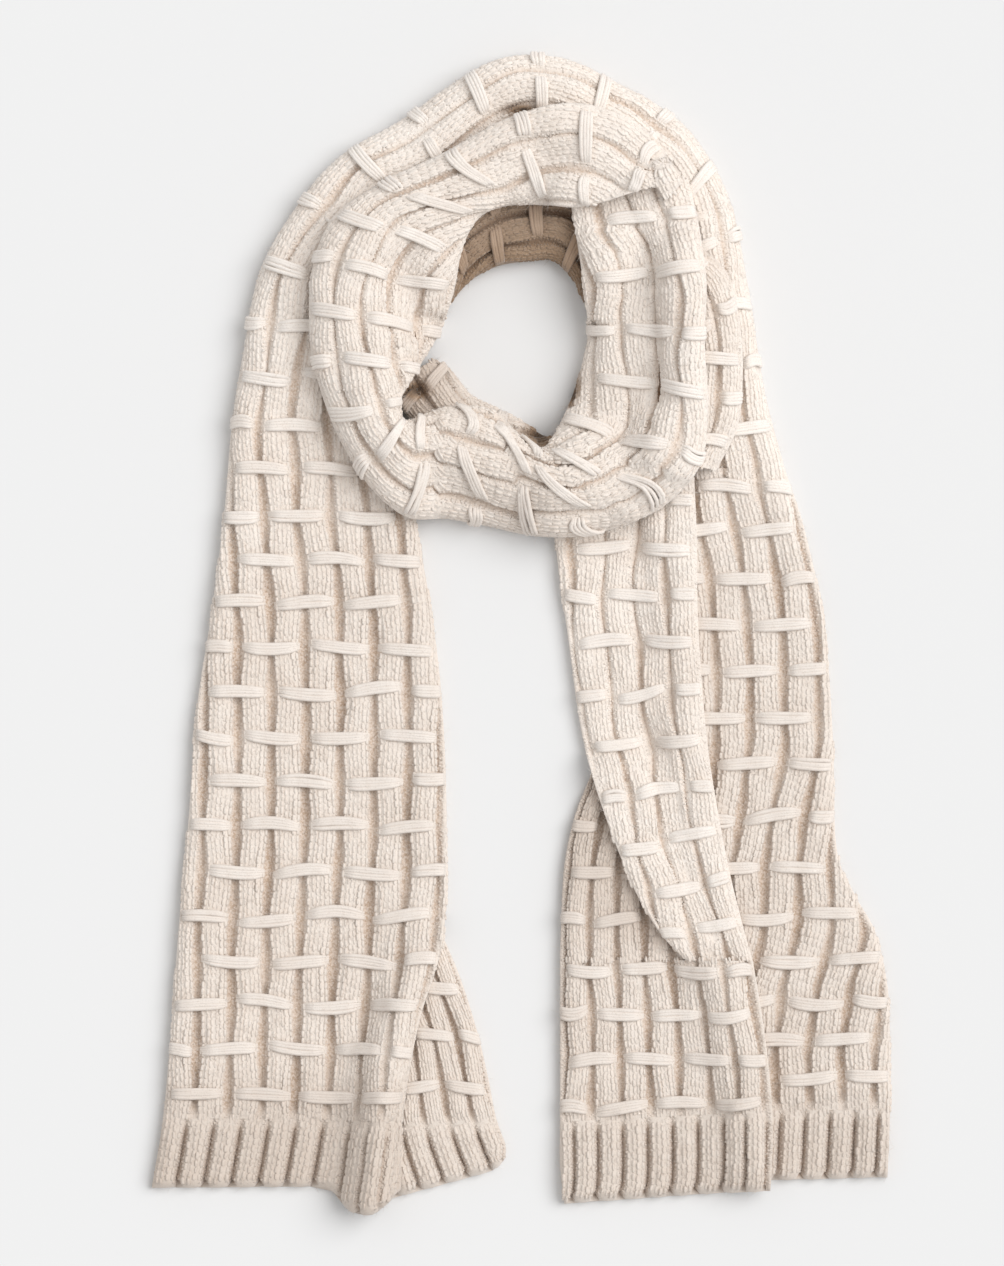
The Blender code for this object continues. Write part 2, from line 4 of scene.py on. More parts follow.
import bpy
import numpy as np
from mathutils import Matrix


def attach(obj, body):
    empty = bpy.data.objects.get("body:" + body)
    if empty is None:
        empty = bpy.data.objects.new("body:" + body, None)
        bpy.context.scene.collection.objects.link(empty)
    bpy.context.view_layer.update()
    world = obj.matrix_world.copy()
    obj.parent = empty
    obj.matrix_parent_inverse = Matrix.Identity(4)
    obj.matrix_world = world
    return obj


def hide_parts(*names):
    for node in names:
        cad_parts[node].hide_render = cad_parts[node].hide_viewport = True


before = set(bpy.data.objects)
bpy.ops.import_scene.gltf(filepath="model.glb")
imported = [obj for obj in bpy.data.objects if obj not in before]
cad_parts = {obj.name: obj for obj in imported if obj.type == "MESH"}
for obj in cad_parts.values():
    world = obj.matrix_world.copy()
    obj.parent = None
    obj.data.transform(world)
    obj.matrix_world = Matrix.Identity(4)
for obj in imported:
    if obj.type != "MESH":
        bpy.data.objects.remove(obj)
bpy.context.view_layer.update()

MM = 0.001


# ---------------------------------------------------------------------------------------
# The wool.  Undyed sheep's wool, spun soft and brushed after knitting: a light cream yarn
# with oatmeal and grey fibres in it.  It is matt, and its fibre ends catch a faint sheen.

# The yarn's light and dark fibres, its purl grooves, the holes between their bumps, and
# the floats: once in full light, and once as painted shade, the colours that the wool has
# deep in the shade.  The grooves and the holes are darker than the fibres: painted shade.
Wool = namedtuple("Wool", "light dark purl hole")
WOOL_LIT = Wool("#F4ECE4", "#EBDFD4", "#E6D6C8", "#CAB39E")
WOOL_SHADED = Wool("#A0876F", "#8D735C", "#785D47", "#5F4632")
FLOAT_LIT = Wool("#F5EEE7", "#ECE2D9", "#ECE2D9", "#E6D9CD")
FLOAT_SHADED = Wool("#AC937D", "#9A8069", "#8E735B", "#7A5E46")
FLECK = "#BFAE9E"  # single grey-brown fibres
GAP_SHADE = "#33271E"  # painted shade: the dark deep in a gap between layers, where no light comes
WOOL_ROUGHNESS = 0.95
WOOL_SPECULAR = 0.2
SHEEN = 0.35
SHEEN_ROUGHNESS = 0.5
BLEND_MM = 7.0  # patches of one blend of fibres in the yarn
FIBRE_MM = 0.9  # the fibres are drawn coarser than the real 0.03 mm, to show at all
PURL_MM = 1.5  # the purl bumps in a groove
CLOUD_MM = 60.0  # slow change of tone from one ball of yarn to the next
FIBRE_STREAKS = (9.0, 1.3)  # streaks of fibre round a strand of yarn, and along a stitch

# A tone comes in from the first value of a noise, or of the shade, to the second, and is
# mixed in there by the third.
DARK_IN = (0.75, 1.75, 1.0)
STREAKS_IN = (0.45, 0.70, 0.5)
FLECKS_IN = (0.56, 0.70)
PURL_IN = (0.40, 0.60, 1.0)
GAP_SHADE_IN = (1.0, 1.3, 0.85)
WHOLE = (0.0, 1.0, 1.0)


def linear(code):
    """An sRGB hex colour as linear red, green, blue and alpha."""
    parts = [int(code[i : i + 2], 16) / 255 for i in (1, 3, 5)]
    return (*[c / 12.92 if c <= 0.04045 else ((c + 0.055) / 1.055) ** 2.4 for c in parts], 1.0)


def add(tree, kind, inputs=None, **settings):
    """Adds a node with its settings.  Each input is a value, a socket to link from, or a
    tuple of three of these, which are joined to a vector."""
    node = tree.nodes.new(kind)
    for name, value in settings.items():
        setattr(node, name, value)
    for name, value in (inputs or {}).items():
        if isinstance(value, tuple) and any(isinstance(v, bpy.types.NodeSocket) for v in value):
            value = add(tree, "ShaderNodeCombineXYZ", dict(zip("XYZ", value))).outputs[0]
        if isinstance(value, bpy.types.NodeSocket):
            tree.links.new(value, node.inputs[name])
        else:
            node.inputs[name].default_value = value
    return node


def brushed_wool(name, lit, shaded, fleck_share, bump_mm):
    """Soft-spun wool: fibres of two tones with grey flecks, and painted shade: darker in the
    grooves, towards shaded copies of its colours, and dark in a gap.
    """
    material = bpy.data.materials.new(name)
    material.use_nodes = True
    tree = material.node_tree
    shader = tree.nodes["Principled BSDF"].inputs
    shader["Roughness"].default_value = WOOL_ROUGHNESS
    shader["Specular IOR Level"].default_value = WOOL_SPECULAR
    shader["Sheen Weight"].default_value = SHEEN
    shader["Sheen Roughness"].default_value = SHEEN_ROUGHNESS
    place = add(tree, "ShaderNodeTexCoord").outputs["Object"]
    noises = {}
    for size, detail in ((BLEND_MM, 2.0), (FIBRE_MM, 3.0), (CLOUD_MM, 1.0), (PURL_MM, 1.0)):
        inputs = {"Vector": place, "Scale": 1 / (size * MM), "Detail": detail}
        noises[size] = add(tree, "ShaderNodeTexNoise", inputs).outputs["Fac"]
    tone, groove, shade = [
        add(tree, "ShaderNodeAttribute", attribute_name=label).outputs["Fac"]
        for label in ("tone", "groove", "shade")
    ]
    blend = noises[BLEND_MM]
    for part in (noises[CLOUD_MM], tone):
        blend = add(tree, "ShaderNodeMath", {0: blend, 1: part}, operation="ADD").outputs[0]
    spun = add(tree, "ShaderNodeAttribute", attribute_name="spun").outputs["Vector"]
    streaks = add(tree, "ShaderNodeTexNoise", {"Vector": spun, "Scale": 1.0, "Detail": 2.0})

    def over(below, above, value, low, high, most):
        """A colour with another over it, as far as a value has gone from low to high."""
        share = {"Value": value, "From Min": low, "From Max": high, "To Max": most}
        share = add(tree, "ShaderNodeMapRange", share).outputs[0]
        mixed = {"Factor": share, "A": below, "B": above}
        return add(tree, "ShaderNodeMix", mixed, data_type="RGBA").outputs["Result"]

    # Painted shade: each colour goes from its lit copy to its shaded one as the shade goes from
    # 0 to 1.
    light, dark, purl, hole = [
        over(linear(one), linear(other), shade, *WHOLE) for one, other in zip(lit, shaded)
    ]
    base = over(light, dark, blend, *DARK_IN)
    base = over(base, dark, streaks.outputs["Fac"], *STREAKS_IN)
    base = over(base, linear(FLECK), noises[FIBRE_MM], *FLECKS_IN, fleck_share)
    # Painted shade in the grooves, darker still in the holes between the purl bumps.
    base = over(base, over(hole, purl, noises[PURL_MM], *PURL_IN), groove, *WHOLE)
    # Painted shade of a gap, where the shade goes over 1.
    base = over(base, linear(GAP_SHADE), shade, *GAP_SHADE_IN)
    bumps = {"Height": noises[FIBRE_MM], "Strength": 1.0, "Distance": bump_mm * MM}
    bump = add(tree, "ShaderNodeBump", bumps)
    tree.links.new(base, shader["Base Color"])
    tree.links.new(bump.outputs["Normal"], shader["Normal"])
    return material


# ---------------------------------------------------------------------------------------
# The two strands inside the neck loop.  The scarf is one knitted band, ribbed lengthwise:
# three columns of knit stitches and a purl groove.  Each stretch is a soft roll of that
# cloth, laid on the map of all that lies under it, with its surface worked out from cuts.

# The knit, in millimetres
RIB_DEPTH = 3.4  # from a rib's crown down to the purl groove
RIB_ROLL = 1.2  # a rib is this much higher in its middle than along its sides
ROLL_ROUND = 1.4  # the same in the rolls, where the ribs are pressed side by side
HEM_ROLL = 2.4  # and in a hem
PINCH = 0.4  # the rows of floats draw the crowns in by this, and they swell between rows
RIB_SWAY = 0.6  # how far a float draws its two ribs towards each other
RIB_COLUMNS = (0.0, 0.09, 0.17, 0.25, 0.36, 0.5, 0.64, 0.75, 0.83, 0.91)
HEM_DEPTH = 3.4
HEM_GROOVE = 0.17  # from the middle of a hem's groove to its rib's side, in ribs
ROW_STEP = 3.1  # from one section of a surface to the next

# Pairs of values, on the tails and in the rolls
RIB_ROUND = (RIB_ROLL, ROLL_ROUND)
WANDER = (0.6, 1.7)  # how far the ribs stray sideways
SWELL = (0.3, 0.9)  # how much higher and lower they lie
GAPE = (0.85, 0.25)  # how wide the grooves gape, as a share
GAPE_UNEVEN = (0.12, 0.25)  # by how much that changes along a groove
GAPE_TIED = (0.15, 0.08)  # how far a float closes its groove
GAPE_MOST = 1.2
GROOVE_FLAT = 0.06  # half the width of a gaping groove's bottom, in ribs
GROOVE_SIDE = 0.09  # width of its side, closed, and as much again when it gapes

# How the cloth lies, in millimetres
LAY_GAP = 0.6  # between a stretch and what it lies on
FOOT_INSET = 0.6  # the lowest layer's edge is set back from the outermost fold
SLIT_INSET = 2.6  # depth of the slit between the lowest layer and the rest
SLIT_HEIGHT = 6.0  # thickness of the lowest layer
SLIT_SHARE = 0.42  # but at most this share of the rise
SLIT_OPEN = 1.4  # opening of that slit
LAYER_EDGE = ((SLIT_INSET, 1.0), (0.5, 0.8), (0.0, 0.5), (0.1, 0.2))  # inset, height share
SHOULDER = 1.15  # width of the rounded shoulder, as a share of the rise
SHOULDER_POINTS = 24
FLAT_POINTS = 28
BASE_SHARE = 0.75  # share of the height below that still shows in the top
LEAST_WALL = 7.0  # thinnest the cloth gets over what it lies on
UNDER_STEP = 13.0  # widest step between points of an underside that isn't flat
CLEAR_REACH = 9.2  # an underside clears all that is this near in plan
WAVE_HEIGHT = 0.8  # slow unevenness of the cloth's top
WALL = 4.5  # thickness of the cloth of a hollow roll
INSIDE_COLUMNS = 16  # points across its plain inside, which has every third section
CREASE = 75.0  # degrees from which an edge is shaded sharp
EDGE_FADE = 0.35  # the ribs' relief runs out over this many ribs at both edges
HEM_ROUND = 5.0  # a hem's end is rounded off over this length
HEM_END = 0.45  # down to this share of the rise
HEM_BLEND = 9.0  # the body's ribs run out, and the hem's begin, over this length
HEM_FLAT = 0.15  # share of the relief that is left between them
HEM_DRAW = 1.5  # how far the seam there is drawn in
RIDGE_LIFT = 2.0  # a ridge lifts the underside by its height less this
RIDGE_SMOOTH = 0.4  # share of the relief that is stretched out on a ridge
RIDGE_FULL = 9.0  # a ridge this high has all of that
PLEAT_LEAN = 0.9  # how far a pleat pushes the hem out, for its height
PLEAT_HIGH = 17.0

# The map of what lies under the next stretch, in millimetres
CELL = 2.0
MAP_X = 250.0  # half its size
MAP_Y = 360.0
BLUR_PASSES = 18

Ridge = namedtuple("Ridge", "start_x start_y end_x end_y reach start_height end_height")

# Painted shade between the layers: the two gaps that the eye looks into, and the low inner
# edges of the loop.  What lies below the given height is painted in their shade.
Hollow = namedtuple("Hollow", "x y reach_x reach_y below")
HOLLOWS = (
    Hollow(-1, 297.5, 19, 7, 40),
    Hollow(-61, 139, 17, 13, 25),
    Hollow(9, 113, 20, 15, 24),
    Hollow(28, 138, 9, 24, 20),
)
# The painted shade in the middle of a hollow: past the wool's shaded colours into the dark of a
# gap.
HOLLOW_SHADE = 1.3
HOLLOW_FADE = 6.0  # millimetres of height over which the shade sets in
MAP_SHAPE = (int(2 * MAP_X / CELL), int(2 * MAP_Y / CELL))

knit_wool = brushed_wool(
    "knitted_brushed_wool", WOOL_LIT, WOOL_SHADED, fleck_share=0.5, bump_mm=0.22
)
laid = {}  # every stretch in the order that it is laid


def smooth_step(x):
    x = np.clip(x, 0.0, 1.0)
    return x * x * (3.0 - 2.0 * x)


def interp_rows(places, known, values):
    """Values at places between known ones, row by row."""
    return np.array([np.interp(*row) for row in zip(places, known, values)])


def unit(vectors):
    return vectors / np.maximum(np.linalg.norm(vectors, axis=-1, keepdims=True), 1e-9)


def upward(over, ahead):
    """The way that a surface faces: square to both directions, and up on the whole."""
    out = np.cross(over, ahead)
    return unit(out * np.sign(out[..., 2].sum()))


class Strand:
    """A strand's cuts as one smooth run, measured along the middle of the strand."""

    FINE = 24

    def __init__(self, cuts, knit):
        self.cuts = np.array(cuts, float)
        self.places = np.linspace(0, len(cuts) - 1, (len(cuts) - 1) * self.FINE + 1)
        cut = self.at_place(self.places)
        steps = np.linalg.norm(np.diff((cut[:, 0:2] + cut[:, 2:4]) / 2, axis=0), axis=1)
        self.runs = np.concatenate(([0.0], np.cumsum(steps)))
        marks, self.numbers, self.grooves = np.array(knit, float).T
        self.marks = np.interp(marks, self.places, self.runs)

    def at_place(self, places):
        last = len(self.cuts) - 1
        i = np.clip(np.floor(places).astype(int), 0, last - 1)
        t = (places - i)[:, None]
        p1, p2 = self.cuts[i], self.cuts[i + 1]
        p0 = np.where((i > 0)[:, None], self.cuts[np.maximum(i - 1, 0)], 2 * p1 - p2)
        after = self.cuts[np.minimum(i + 2, last)]
        p3 = np.where((i + 2 <= last)[:, None], after, 2 * p2 - p1)
        slope1, slope2 = (p2 - p0) / 2, (p3 - p1) / 2
        a = 2 * p1 - 2 * p2 + slope1 + slope2
        b = 3 * p2 - 3 * p1 - 2 * slope1 - slope2
        return ((a * t + b) * t + slope1) * t + p1

    def at_run(self, runs):
        return self.at_place(np.interp(runs, self.runs, self.places))


def cells(x, y):
    """The cells of the map at places in plan."""
    i = np.clip(((x + MAP_X) / CELL).astype(int), 0, MAP_SHAPE[0] - 1)
    j = np.clip(((y + MAP_Y) / CELL).astype(int), 0, MAP_SHAPE[1] - 1)
    return i, j


def widened(top, reach):
    """The map with each height spread to the cells within reach of it."""
    wide = top.copy()
    span = int(reach / CELL) + 1
    for di in range(-span, span + 1):
        for dj in range(-span, span + 1):
            if math.hypot(di, dj) * CELL <= reach:
                wide = np.maximum(wide, np.roll(top, (di, dj), (0, 1)))
    return wide


def ridge_height(ridges, x, y):
    """Height that the ridges add at places in plan; only the strongest one counts."""
    best = np.zeros(np.shape(x))
    for r in ridges:
        run_x, run_y = r.end_x - r.start_x, r.end_y - r.start_y
        share = ((x - r.start_x) * run_x + (y - r.start_y) * run_y) / (run_x**2 + run_y**2)
        share = np.clip(share, 0.0, 1.0)
        away = np.hypot(x - r.start_x - share * run_x, y - r.start_y - share * run_y)
        high = r.start_height + (r.end_height - r.start_height) * share
        high = high * (1.0 - smooth_step(away / r.reach))
        best = np.where(np.abs(high) > np.abs(best), high, best)
    return best


def wave(x, y):
    """Slow unevenness of the laid cloth."""
    long_wave = np.sin(x / 31.0 + 1.3 * np.sin(y / 47.0))
    cross_wave = np.sin(y / 26.0 + 1.7 * np.sin(x / 39.0) + 0.8)
    return WAVE_HEIGHT * (long_wave + cross_wave) / 2


class Cloth:
    """One laid stretch: its crowns as a grid over ribs and runs, and what is under it."""

    def __init__(
        self, name, strand, first, last, hem_pitch, ridges, beside, hem_seams, looks, corner
    ):
        self.name, self.is_hem, self.ridges = name, hem_pitch > 0, ridges
        self.strand, self.corner = strand, corner
        self.looks = np.array(looks, float).T
        self.looks[0] = np.interp(self.looks[0], strand.places, strand.runs)
        ends = np.interp([first, last], strand.places, strand.runs)
        self.start, self.end = ends
        count = max(int((self.end - self.start) / ROW_STEP), 4) + 1
        self.runs = np.linspace(self.start, self.end, count)
        self.rows = strand.at_run(self.runs)
        self.free = (self.is_hem and first == 0, self.is_hem and last == len(strand.cuts) - 1)
        self.joined = tuple(place in hem_seams for place in (first, last))
        if self.is_hem:
            self.rows[:, 5] = hem_pitch
        self.widths = np.linalg.norm(self.rows[:, 2:4] - self.rows[:, 0:2], axis=1)
        top = np.zeros(MAP_SHAPE)
        for other, cloth in laid.items():
            if other not in beside:
                top = np.maximum(top, cloth.spread)
        below = widened(top, CLEAR_REACH)
        self.lay_under(below)
        for _ in range(BLUR_PASSES):
            below = (below + np.roll(below, 1, 0) + np.roll(below, -1, 0)) / 3
            below = (below + np.roll(below, 1, 1) + np.roll(below, -1, 1)) / 3
        self.crowns(below)
        self.mark()

    def plan(self, shares):
        """Places in plan at shares across each section, from the outer to the inner edge."""
        outer, inner = self.rows[:, None, 0:2], self.rows[:, None, 2:4]
        return outer + (inner - outer) * shares[..., None]

    def lay_under(self, below):
        inset = np.minimum(FOOT_INSET / self.widths, 0.1)
        count = int(math.ceil(self.widths.max() / UNDER_STEP)) + 1
        self.shares = np.array([np.linspace(s, 1 - s, count) for s in inset])
        plan = self.plan(self.shares)
        heights = below[cells(plan[..., 0], plan[..., 1])]
        heights = np.where(heights > 0, heights + LAY_GAP, 0.0)
        lifted = ridge_height(self.ridges, plan[..., 0], plan[..., 1]) - RIDGE_LIFT
        self.under = np.maximum(heights, np.maximum(lifted, 0.0))

    def crowns(self, soft):
        """The crowns' surface, as points for each run and rib column, and its frames."""
        width, rise = self.widths[:, None], self.rows[:, 4:5]
        dip = np.interp(self.runs, self.looks[0], self.looks[4])[:, None]
        for free, away in zip(self.free, (self.runs - self.start, self.end - self.runs)):
            if free:
                turn = 1 - np.clip(away / HEM_ROUND, 0, 1)[:, None]
                rise = rise * (HEM_END + (1 - HEM_END) * np.sqrt(1 - turn**2))
        shoulder = np.minimum(width / 2, SHOULDER * rise)
        turn = np.linspace(0, math.pi / 2, SHOULDER_POINTS)
        side = shoulder * (1 - np.cos(turn))
        flat = np.linspace(0, 1, FLAT_POINTS + 2)[1:-1]
        flat = shoulder + (width - 2 * shoulder) * flat
        across = np.concatenate((side, flat, width - side[:, ::-1]), axis=1)
        swell = np.concatenate((np.sin(turn), np.ones(FLAT_POINTS), np.sin(turn)[::-1]))
        share = across / width
        plan = self.plan(share)
        x, y = plan[..., 0], plan[..., 1]
        floor = interp_rows(share, self.shares, self.under)
        crown = BASE_SHARE * soft[cells(x, y)] + rise * (1 - dip * (1 - (2 * share - 1) ** 2))
        crown = crown + wave(x, y) + ridge_height(self.ridges, x, y)
        crown = np.maximum(crown, floor + np.minimum(LEAST_WALL, rise))
        slit = np.minimum(SLIT_HEIGHT, SLIT_SHARE * rise) + SLIT_OPEN
        foot = np.where(share < 0.5, self.under[:, :1], self.under[:, -1:]) + slit
        foot = np.minimum(foot, crown)
        z = foot + (crown - foot) * swell
        self.slit = (slit - SLIT_OPEN)[:, 0]
        length = np.hypot(np.diff(across, axis=1), np.diff(z, axis=1)).cumsum(axis=1)
        length = np.hstack((np.zeros((len(length), 1)), length))
        pitch, whole = self.rows[:, 5:6], length[:, -1:]
        self.pitch = pitch[:, 0]
        self.first = np.interp(self.runs, self.strand.marks, self.strand.grooves)
        self.last = self.first + whole[:, 0] / self.pitch
        low, high = self.first.min(), self.last.max()
        places = [r + c for r in range(math.floor(low), math.ceil(high)) for c in RIB_COLUMNS]
        self.columns = np.array([low] + [c for c in places if low < c < high] + [high])
        along = drawn_in((self.columns - self.first[:, None]) * pitch, whole, pitch)
        # The knit itself isn't drawn together: a column crosses it towards the edges.
        self.ribs = self.first[:, None] + along / pitch
        fade = smooth_step(np.minimum(along, whole - along) / pitch / EDGE_FADE)
        share = interp_rows(along, length, across) / width
        self.crown = np.dstack((self.plan(share), interp_rows(along, length, z)))
        over = np.gradient(self.crown, axis=1)
        ahead = np.gradient(self.crown, self.runs, axis=0)
        self.table = np.dstack((self.crown, upward(over, ahead), unit(over), ahead, fade))

    def row(self, run):
        """The float rows' numbers at runs: whole on a row, and between them in between."""
        return np.interp(run, self.strand.marks, self.strand.numbers)

    def relief(self, rib, run):
        """Height over the crowns, sideways sway and depth into the groove from 0 to 1, at
        rib coordinates, whose whole numbers are the grooves, and runs."""
        nearest = np.round(rib)
        from_groove = np.abs(rib - nearest)
        if self.is_hem:
            side = smooth_step(from_groove / HEM_GROOVE)
            round_off = HEM_ROLL * np.clip(1 - from_groove / 0.5, 0, 1) ** 2
            return -HEM_DEPTH * (1 - side) - round_off, 0 * rib, 1 - side
        # A float ties the two ribs of its groove, which closes there, and gapes between.
        row = self.row(run)
        tie = np.cos(np.pi * (row - nearest))
        uneven = np.sin(run / 13.0 + 2.4 * nearest) + np.sin(run / 29.0 - 1.7 * nearest)
        gape = self.pressed(run, GAPE) + self.pressed(run, GAPE_UNEVEN) * uneven
        gape = np.clip(gape - self.pressed(run, GAPE_TIED) * tie, 0.0, GAPE_MOST)
        side = (from_groove - GROOVE_FLAT * gape) / (GROOVE_SIDE + GROOVE_SIDE * gape)
        side = smooth_step(side)
        round_off = self.pressed(run, RIB_ROUND) * np.clip(1 - from_groove / 0.5, 0, 1) ** 2
        depth = RIB_DEPTH * (0.5 + 0.5 * gape)
        pinch = PINCH * np.cos(2 * np.pi * row)
        height = -depth * (1 - side) - round_off - pinch * side
        toward = np.sign(nearest - rib) * tie * (1 - np.abs(2 * from_groove - 0.5))
        return height, RIB_SWAY * toward * side, (1 - side) * (0.45 + 0.55 * gape)

    def pressed(self, run, pair):
        """A pair's value at runs: between its two, as far as the ribs are pressed there."""
        return pair[0] + (pair[1] - pair[0]) * np.interp(run, self.looks[0], self.looks[3])

    def strayed(self, point, run):
        """How far the ribs stray sideways and up at points: slow and irregular."""
        x, y = point[:, 0], point[:, 1]
        aside = np.sin(x / 9.5 + 1.4 * np.sin(y / 13.0))
        aside += np.sin(y / 11.0 + 1.6 * np.sin(x / 15.0))
        up = np.sin(x / 7.3 + 2.0 * np.sin(y / 10.5)) + np.sin(y / 8.1 + 1.8 * np.sin(x / 11.7))
        return self.pressed(run, WANDER) * aside / 2, self.pressed(run, SWELL) * up / 2

    def at(self, rib, run, up=0.0):
        """Points on the knitted surface, at a height over it, and their depth in a groove."""
        i = np.interp(run, self.runs, np.arange(len(self.runs)))
        i0 = np.minimum(i.astype(int), len(self.runs) - 2)
        a = i - i0
        t = self.table
        ends = []
        for side in (i0, i0 + 1):
            j = np.empty(len(rib))
            for section in np.unique(side):
                here = side == section
                j[here] = np.interp(rib[here], self.ribs[section], np.arange(len(self.columns)))
            j0 = np.minimum(j.astype(int), len(self.columns) - 2)
            b = (j - j0)[:, None]
            ends.append(t[side, j0] * (1 - b) + t[side, j0 + 1] * b)
        row = ends[0] * (1 - a)[:, None] + ends[1] * a[:, None]
        height, sway, groove = self.relief(rib, run)
        fade = row[:, 12]
        for end, joined in zip((self.start, self.end), self.joined):
            if joined:
                away = smooth_step(np.abs(run - end) / HEM_BLEND)
                fade = fade * (HEM_FLAT + (1 - HEM_FLAT) * away)
                up = up - HEM_DRAW * (1 - away) * row[:, 12]
        if self.ridges:
            # The cloth is stretched smooth over a ridge.
            high = ridge_height(self.ridges, row[:, 0], row[:, 1])
            fade = fade * (1 - RIDGE_SMOOTH * smooth_step(high / RIDGE_FULL))
        if not self.is_hem:
            aside, swell = self.strayed(row, run)
            sway, height = sway + aside, height + swell
        beyond = run - np.clip(run, self.start, self.end)
        point = row[:, 0:3] + row[:, 3:6] * (height * fade + up)[:, None]
        point = point + row[:, 6:9] * (sway * fade)[:, None] + row[:, 9:12] * beyond[:, None]
        return self.leant(point, run), groove * fade

    def leant(self, point, run):
        """A hem's points, pushed out where a pleat ends in it, and its corner rounded."""
        if self.ridges and self.is_hem and self.free[0]:
            out = (self.end - run) / (self.end - self.start)
            high = ridge_height(self.ridges, point[:, 0], point[:, 1])
            high = np.clip(high, 0.0, PLEAT_HIGH)
            # Pushed out by almost twice its height at the pleat's foot, for a round end.
            point[:, 1] -= PLEAT_LEAN * out * high * (1.9 - 0.9 * high / PLEAT_HIGH)
        if self.corner and self.free[0]:
            outer, inner = self.rows[0, 0:2], self.rows[0, 2:4]
            aside = (outer - inner) / self.widths[0]
            back = outer - self.rows[-1, 0:2]
            back /= np.linalg.norm(back)
            centre = outer - self.corner * (aside + back)
            a, b = (point[:, 0:2] - centre) @ aside, (point[:, 0:2] - centre) @ back
            fit = np.maximum(a, b) / np.maximum(np.hypot(a, b), 1e-6) - 1
            fit = np.where((a > 0) & (b > 0), fit, 0.0)[:, None]
            point[:, 0:2] += fit * (a[:, None] * aside + b[:, None] * back)
        return point

    def shade(self, point, rib, run):
        """How much painted shade points get: 1 paints the wool's shaded colours, and more paints
        the dark of a gap.
        """
        edges = [np.interp(run, self.runs, side) for side in (self.first, self.last)]
        across = np.clip((rib - edges[0]) / (edges[1] - edges[0]), 0, 1)
        outer, inner = [np.interp(run, self.looks[0], side) for side in self.looks[1:3]]
        shade = outer + (inner - outer) * across**2
        x, y, z = point.T
        # Painted shade in the hollows, on what lies low in them.
        for gap in HOLLOWS:
            away = np.hypot((x - gap.x) / gap.reach_x, (y - gap.y) / gap.reach_y)
            deep = (1 - smooth_step(away)) * smooth_step((gap.below - z) / HOLLOW_FADE)
            shade = np.maximum(shade, HOLLOW_SHADE * deep)
        return shade

    def surface(self):
        """The top of the stretch as a grid of points, with their depth in a groove."""
        run = np.repeat(self.runs, len(self.columns))
        points, groove = self.at(self.ribs.ravel(), run)
        shape = self.ribs.shape
        return points.reshape(*shape, 3), groove.reshape(shape)

    def mark(self):
        """Marks the top of the stretch in a map of its own."""
        self.map = np.zeros(MAP_SHAPE)
        points = self.surface()[0]
        between = (points[1:] + points[:-1]) / 2
        for p in (points, between, (points[:, 1:] + points[:, :-1]) / 2):
            i, j = cells(p[..., 0], p[..., 1])
            np.maximum.at(self.map, (i, j), p[..., 2])
        self.spread = widened(self.map, 1.5 * CELL)


def drawn_in(along, whole, pitch):
    """Places on sections of a whole length, drawn together at both edges until they fit."""
    room = np.minimum(1.2 * pitch, 0.5 * whole)
    keep = whole - room
    full = 1 - np.exp(-np.maximum(along[:, -1:] - keep, 1e-6) / room)
    squeezed = keep + room * (1 - np.exp(-np.maximum(along - keep, 0) / room)) / full
    along = np.where(along > keep, squeezed, along)
    room = np.maximum(np.minimum(room, -1.2 * along[:, :1]), 1e-3)
    full = 1 - np.exp(-(room - along[:, :1]) / room)
    squeezed = room - room * (1 - np.exp(-np.maximum(room - along, 0) / room)) / full
    return np.clip(np.where(along < room, squeezed, along), 0, whole)


def end_faces(ring, top):
    """Triangles between the top of an end's ring and the rest of it, from side to side."""
    chains = list(range(top)), list(range(len(ring) - 1, top - 1, -1))
    axis = ring[top - 1, 0:2] - ring[0, 0:2]
    places = [((ring[chain, 0:2] - ring[0, 0:2]) @ axis).tolist() for chain in chains]
    faces, i, j = [], 0, 0
    while i + 1 < len(chains[0]) or j + 1 < len(chains[1]):
        rest = i + 1 == len(chains[0])
        if rest or (j + 1 < len(chains[1]) and places[1][j + 1] < places[0][i + 1]):
            faces.append([chains[0][i], chains[1][j], chains[1][j + 1]])
            j += 1
        else:
            faces.append([chains[0][i], chains[1][j], chains[0][i + 1]])
            i += 1
    return faces


def rings_to_mesh(rings, offset, turned, top):
    """Points and faces of a closed tube through equal rings, with a face at each end, or
    with triangles there when it is told how many points its top has."""
    n, m = rings.shape[:2]
    i, j = np.meshgrid(np.arange(n - 1), np.arange(m), indexing="ij")
    k = (j + 1) % m
    quads = np.stack((i * m + j, i * m + k, (i + 1) * m + k, (i + 1) * m + j), axis=-1)
    quads = quads.reshape(-1, 4)
    p = rings.reshape(-1, 3)
    a, b, c, d = (p[quads[:, corner]] for corner in range(4))
    volume = (a * (np.cross(b, c) + np.cross(c, d))).sum()
    faces = (quads + offset).tolist()
    ends = [end_faces(ring, top) if top else [list(range(m))[::-1]] for ring in rings[[0, -1]]]
    faces += [[offset + c for c in face] for face in ends[0]]
    faces += [[offset + (n - 1) * m + c for c in face[::-1]] for face in ends[1]]
    if (volume < 0) != turned:
        faces = [f[::-1] for f in faces]
    return p, faces


def store(mesh, **values):
    """Stores numbers or vectors on a mesh's points, each under its name."""
    for label, value in values.items():
        value = np.asarray(value, np.float32)
        kind, field = ("FLOAT", "value") if value.ndim == 1 else ("FLOAT_VECTOR", "vector")
        mesh.attributes.new(label, kind, "POINT").data.foreach_set(field, value.ravel())


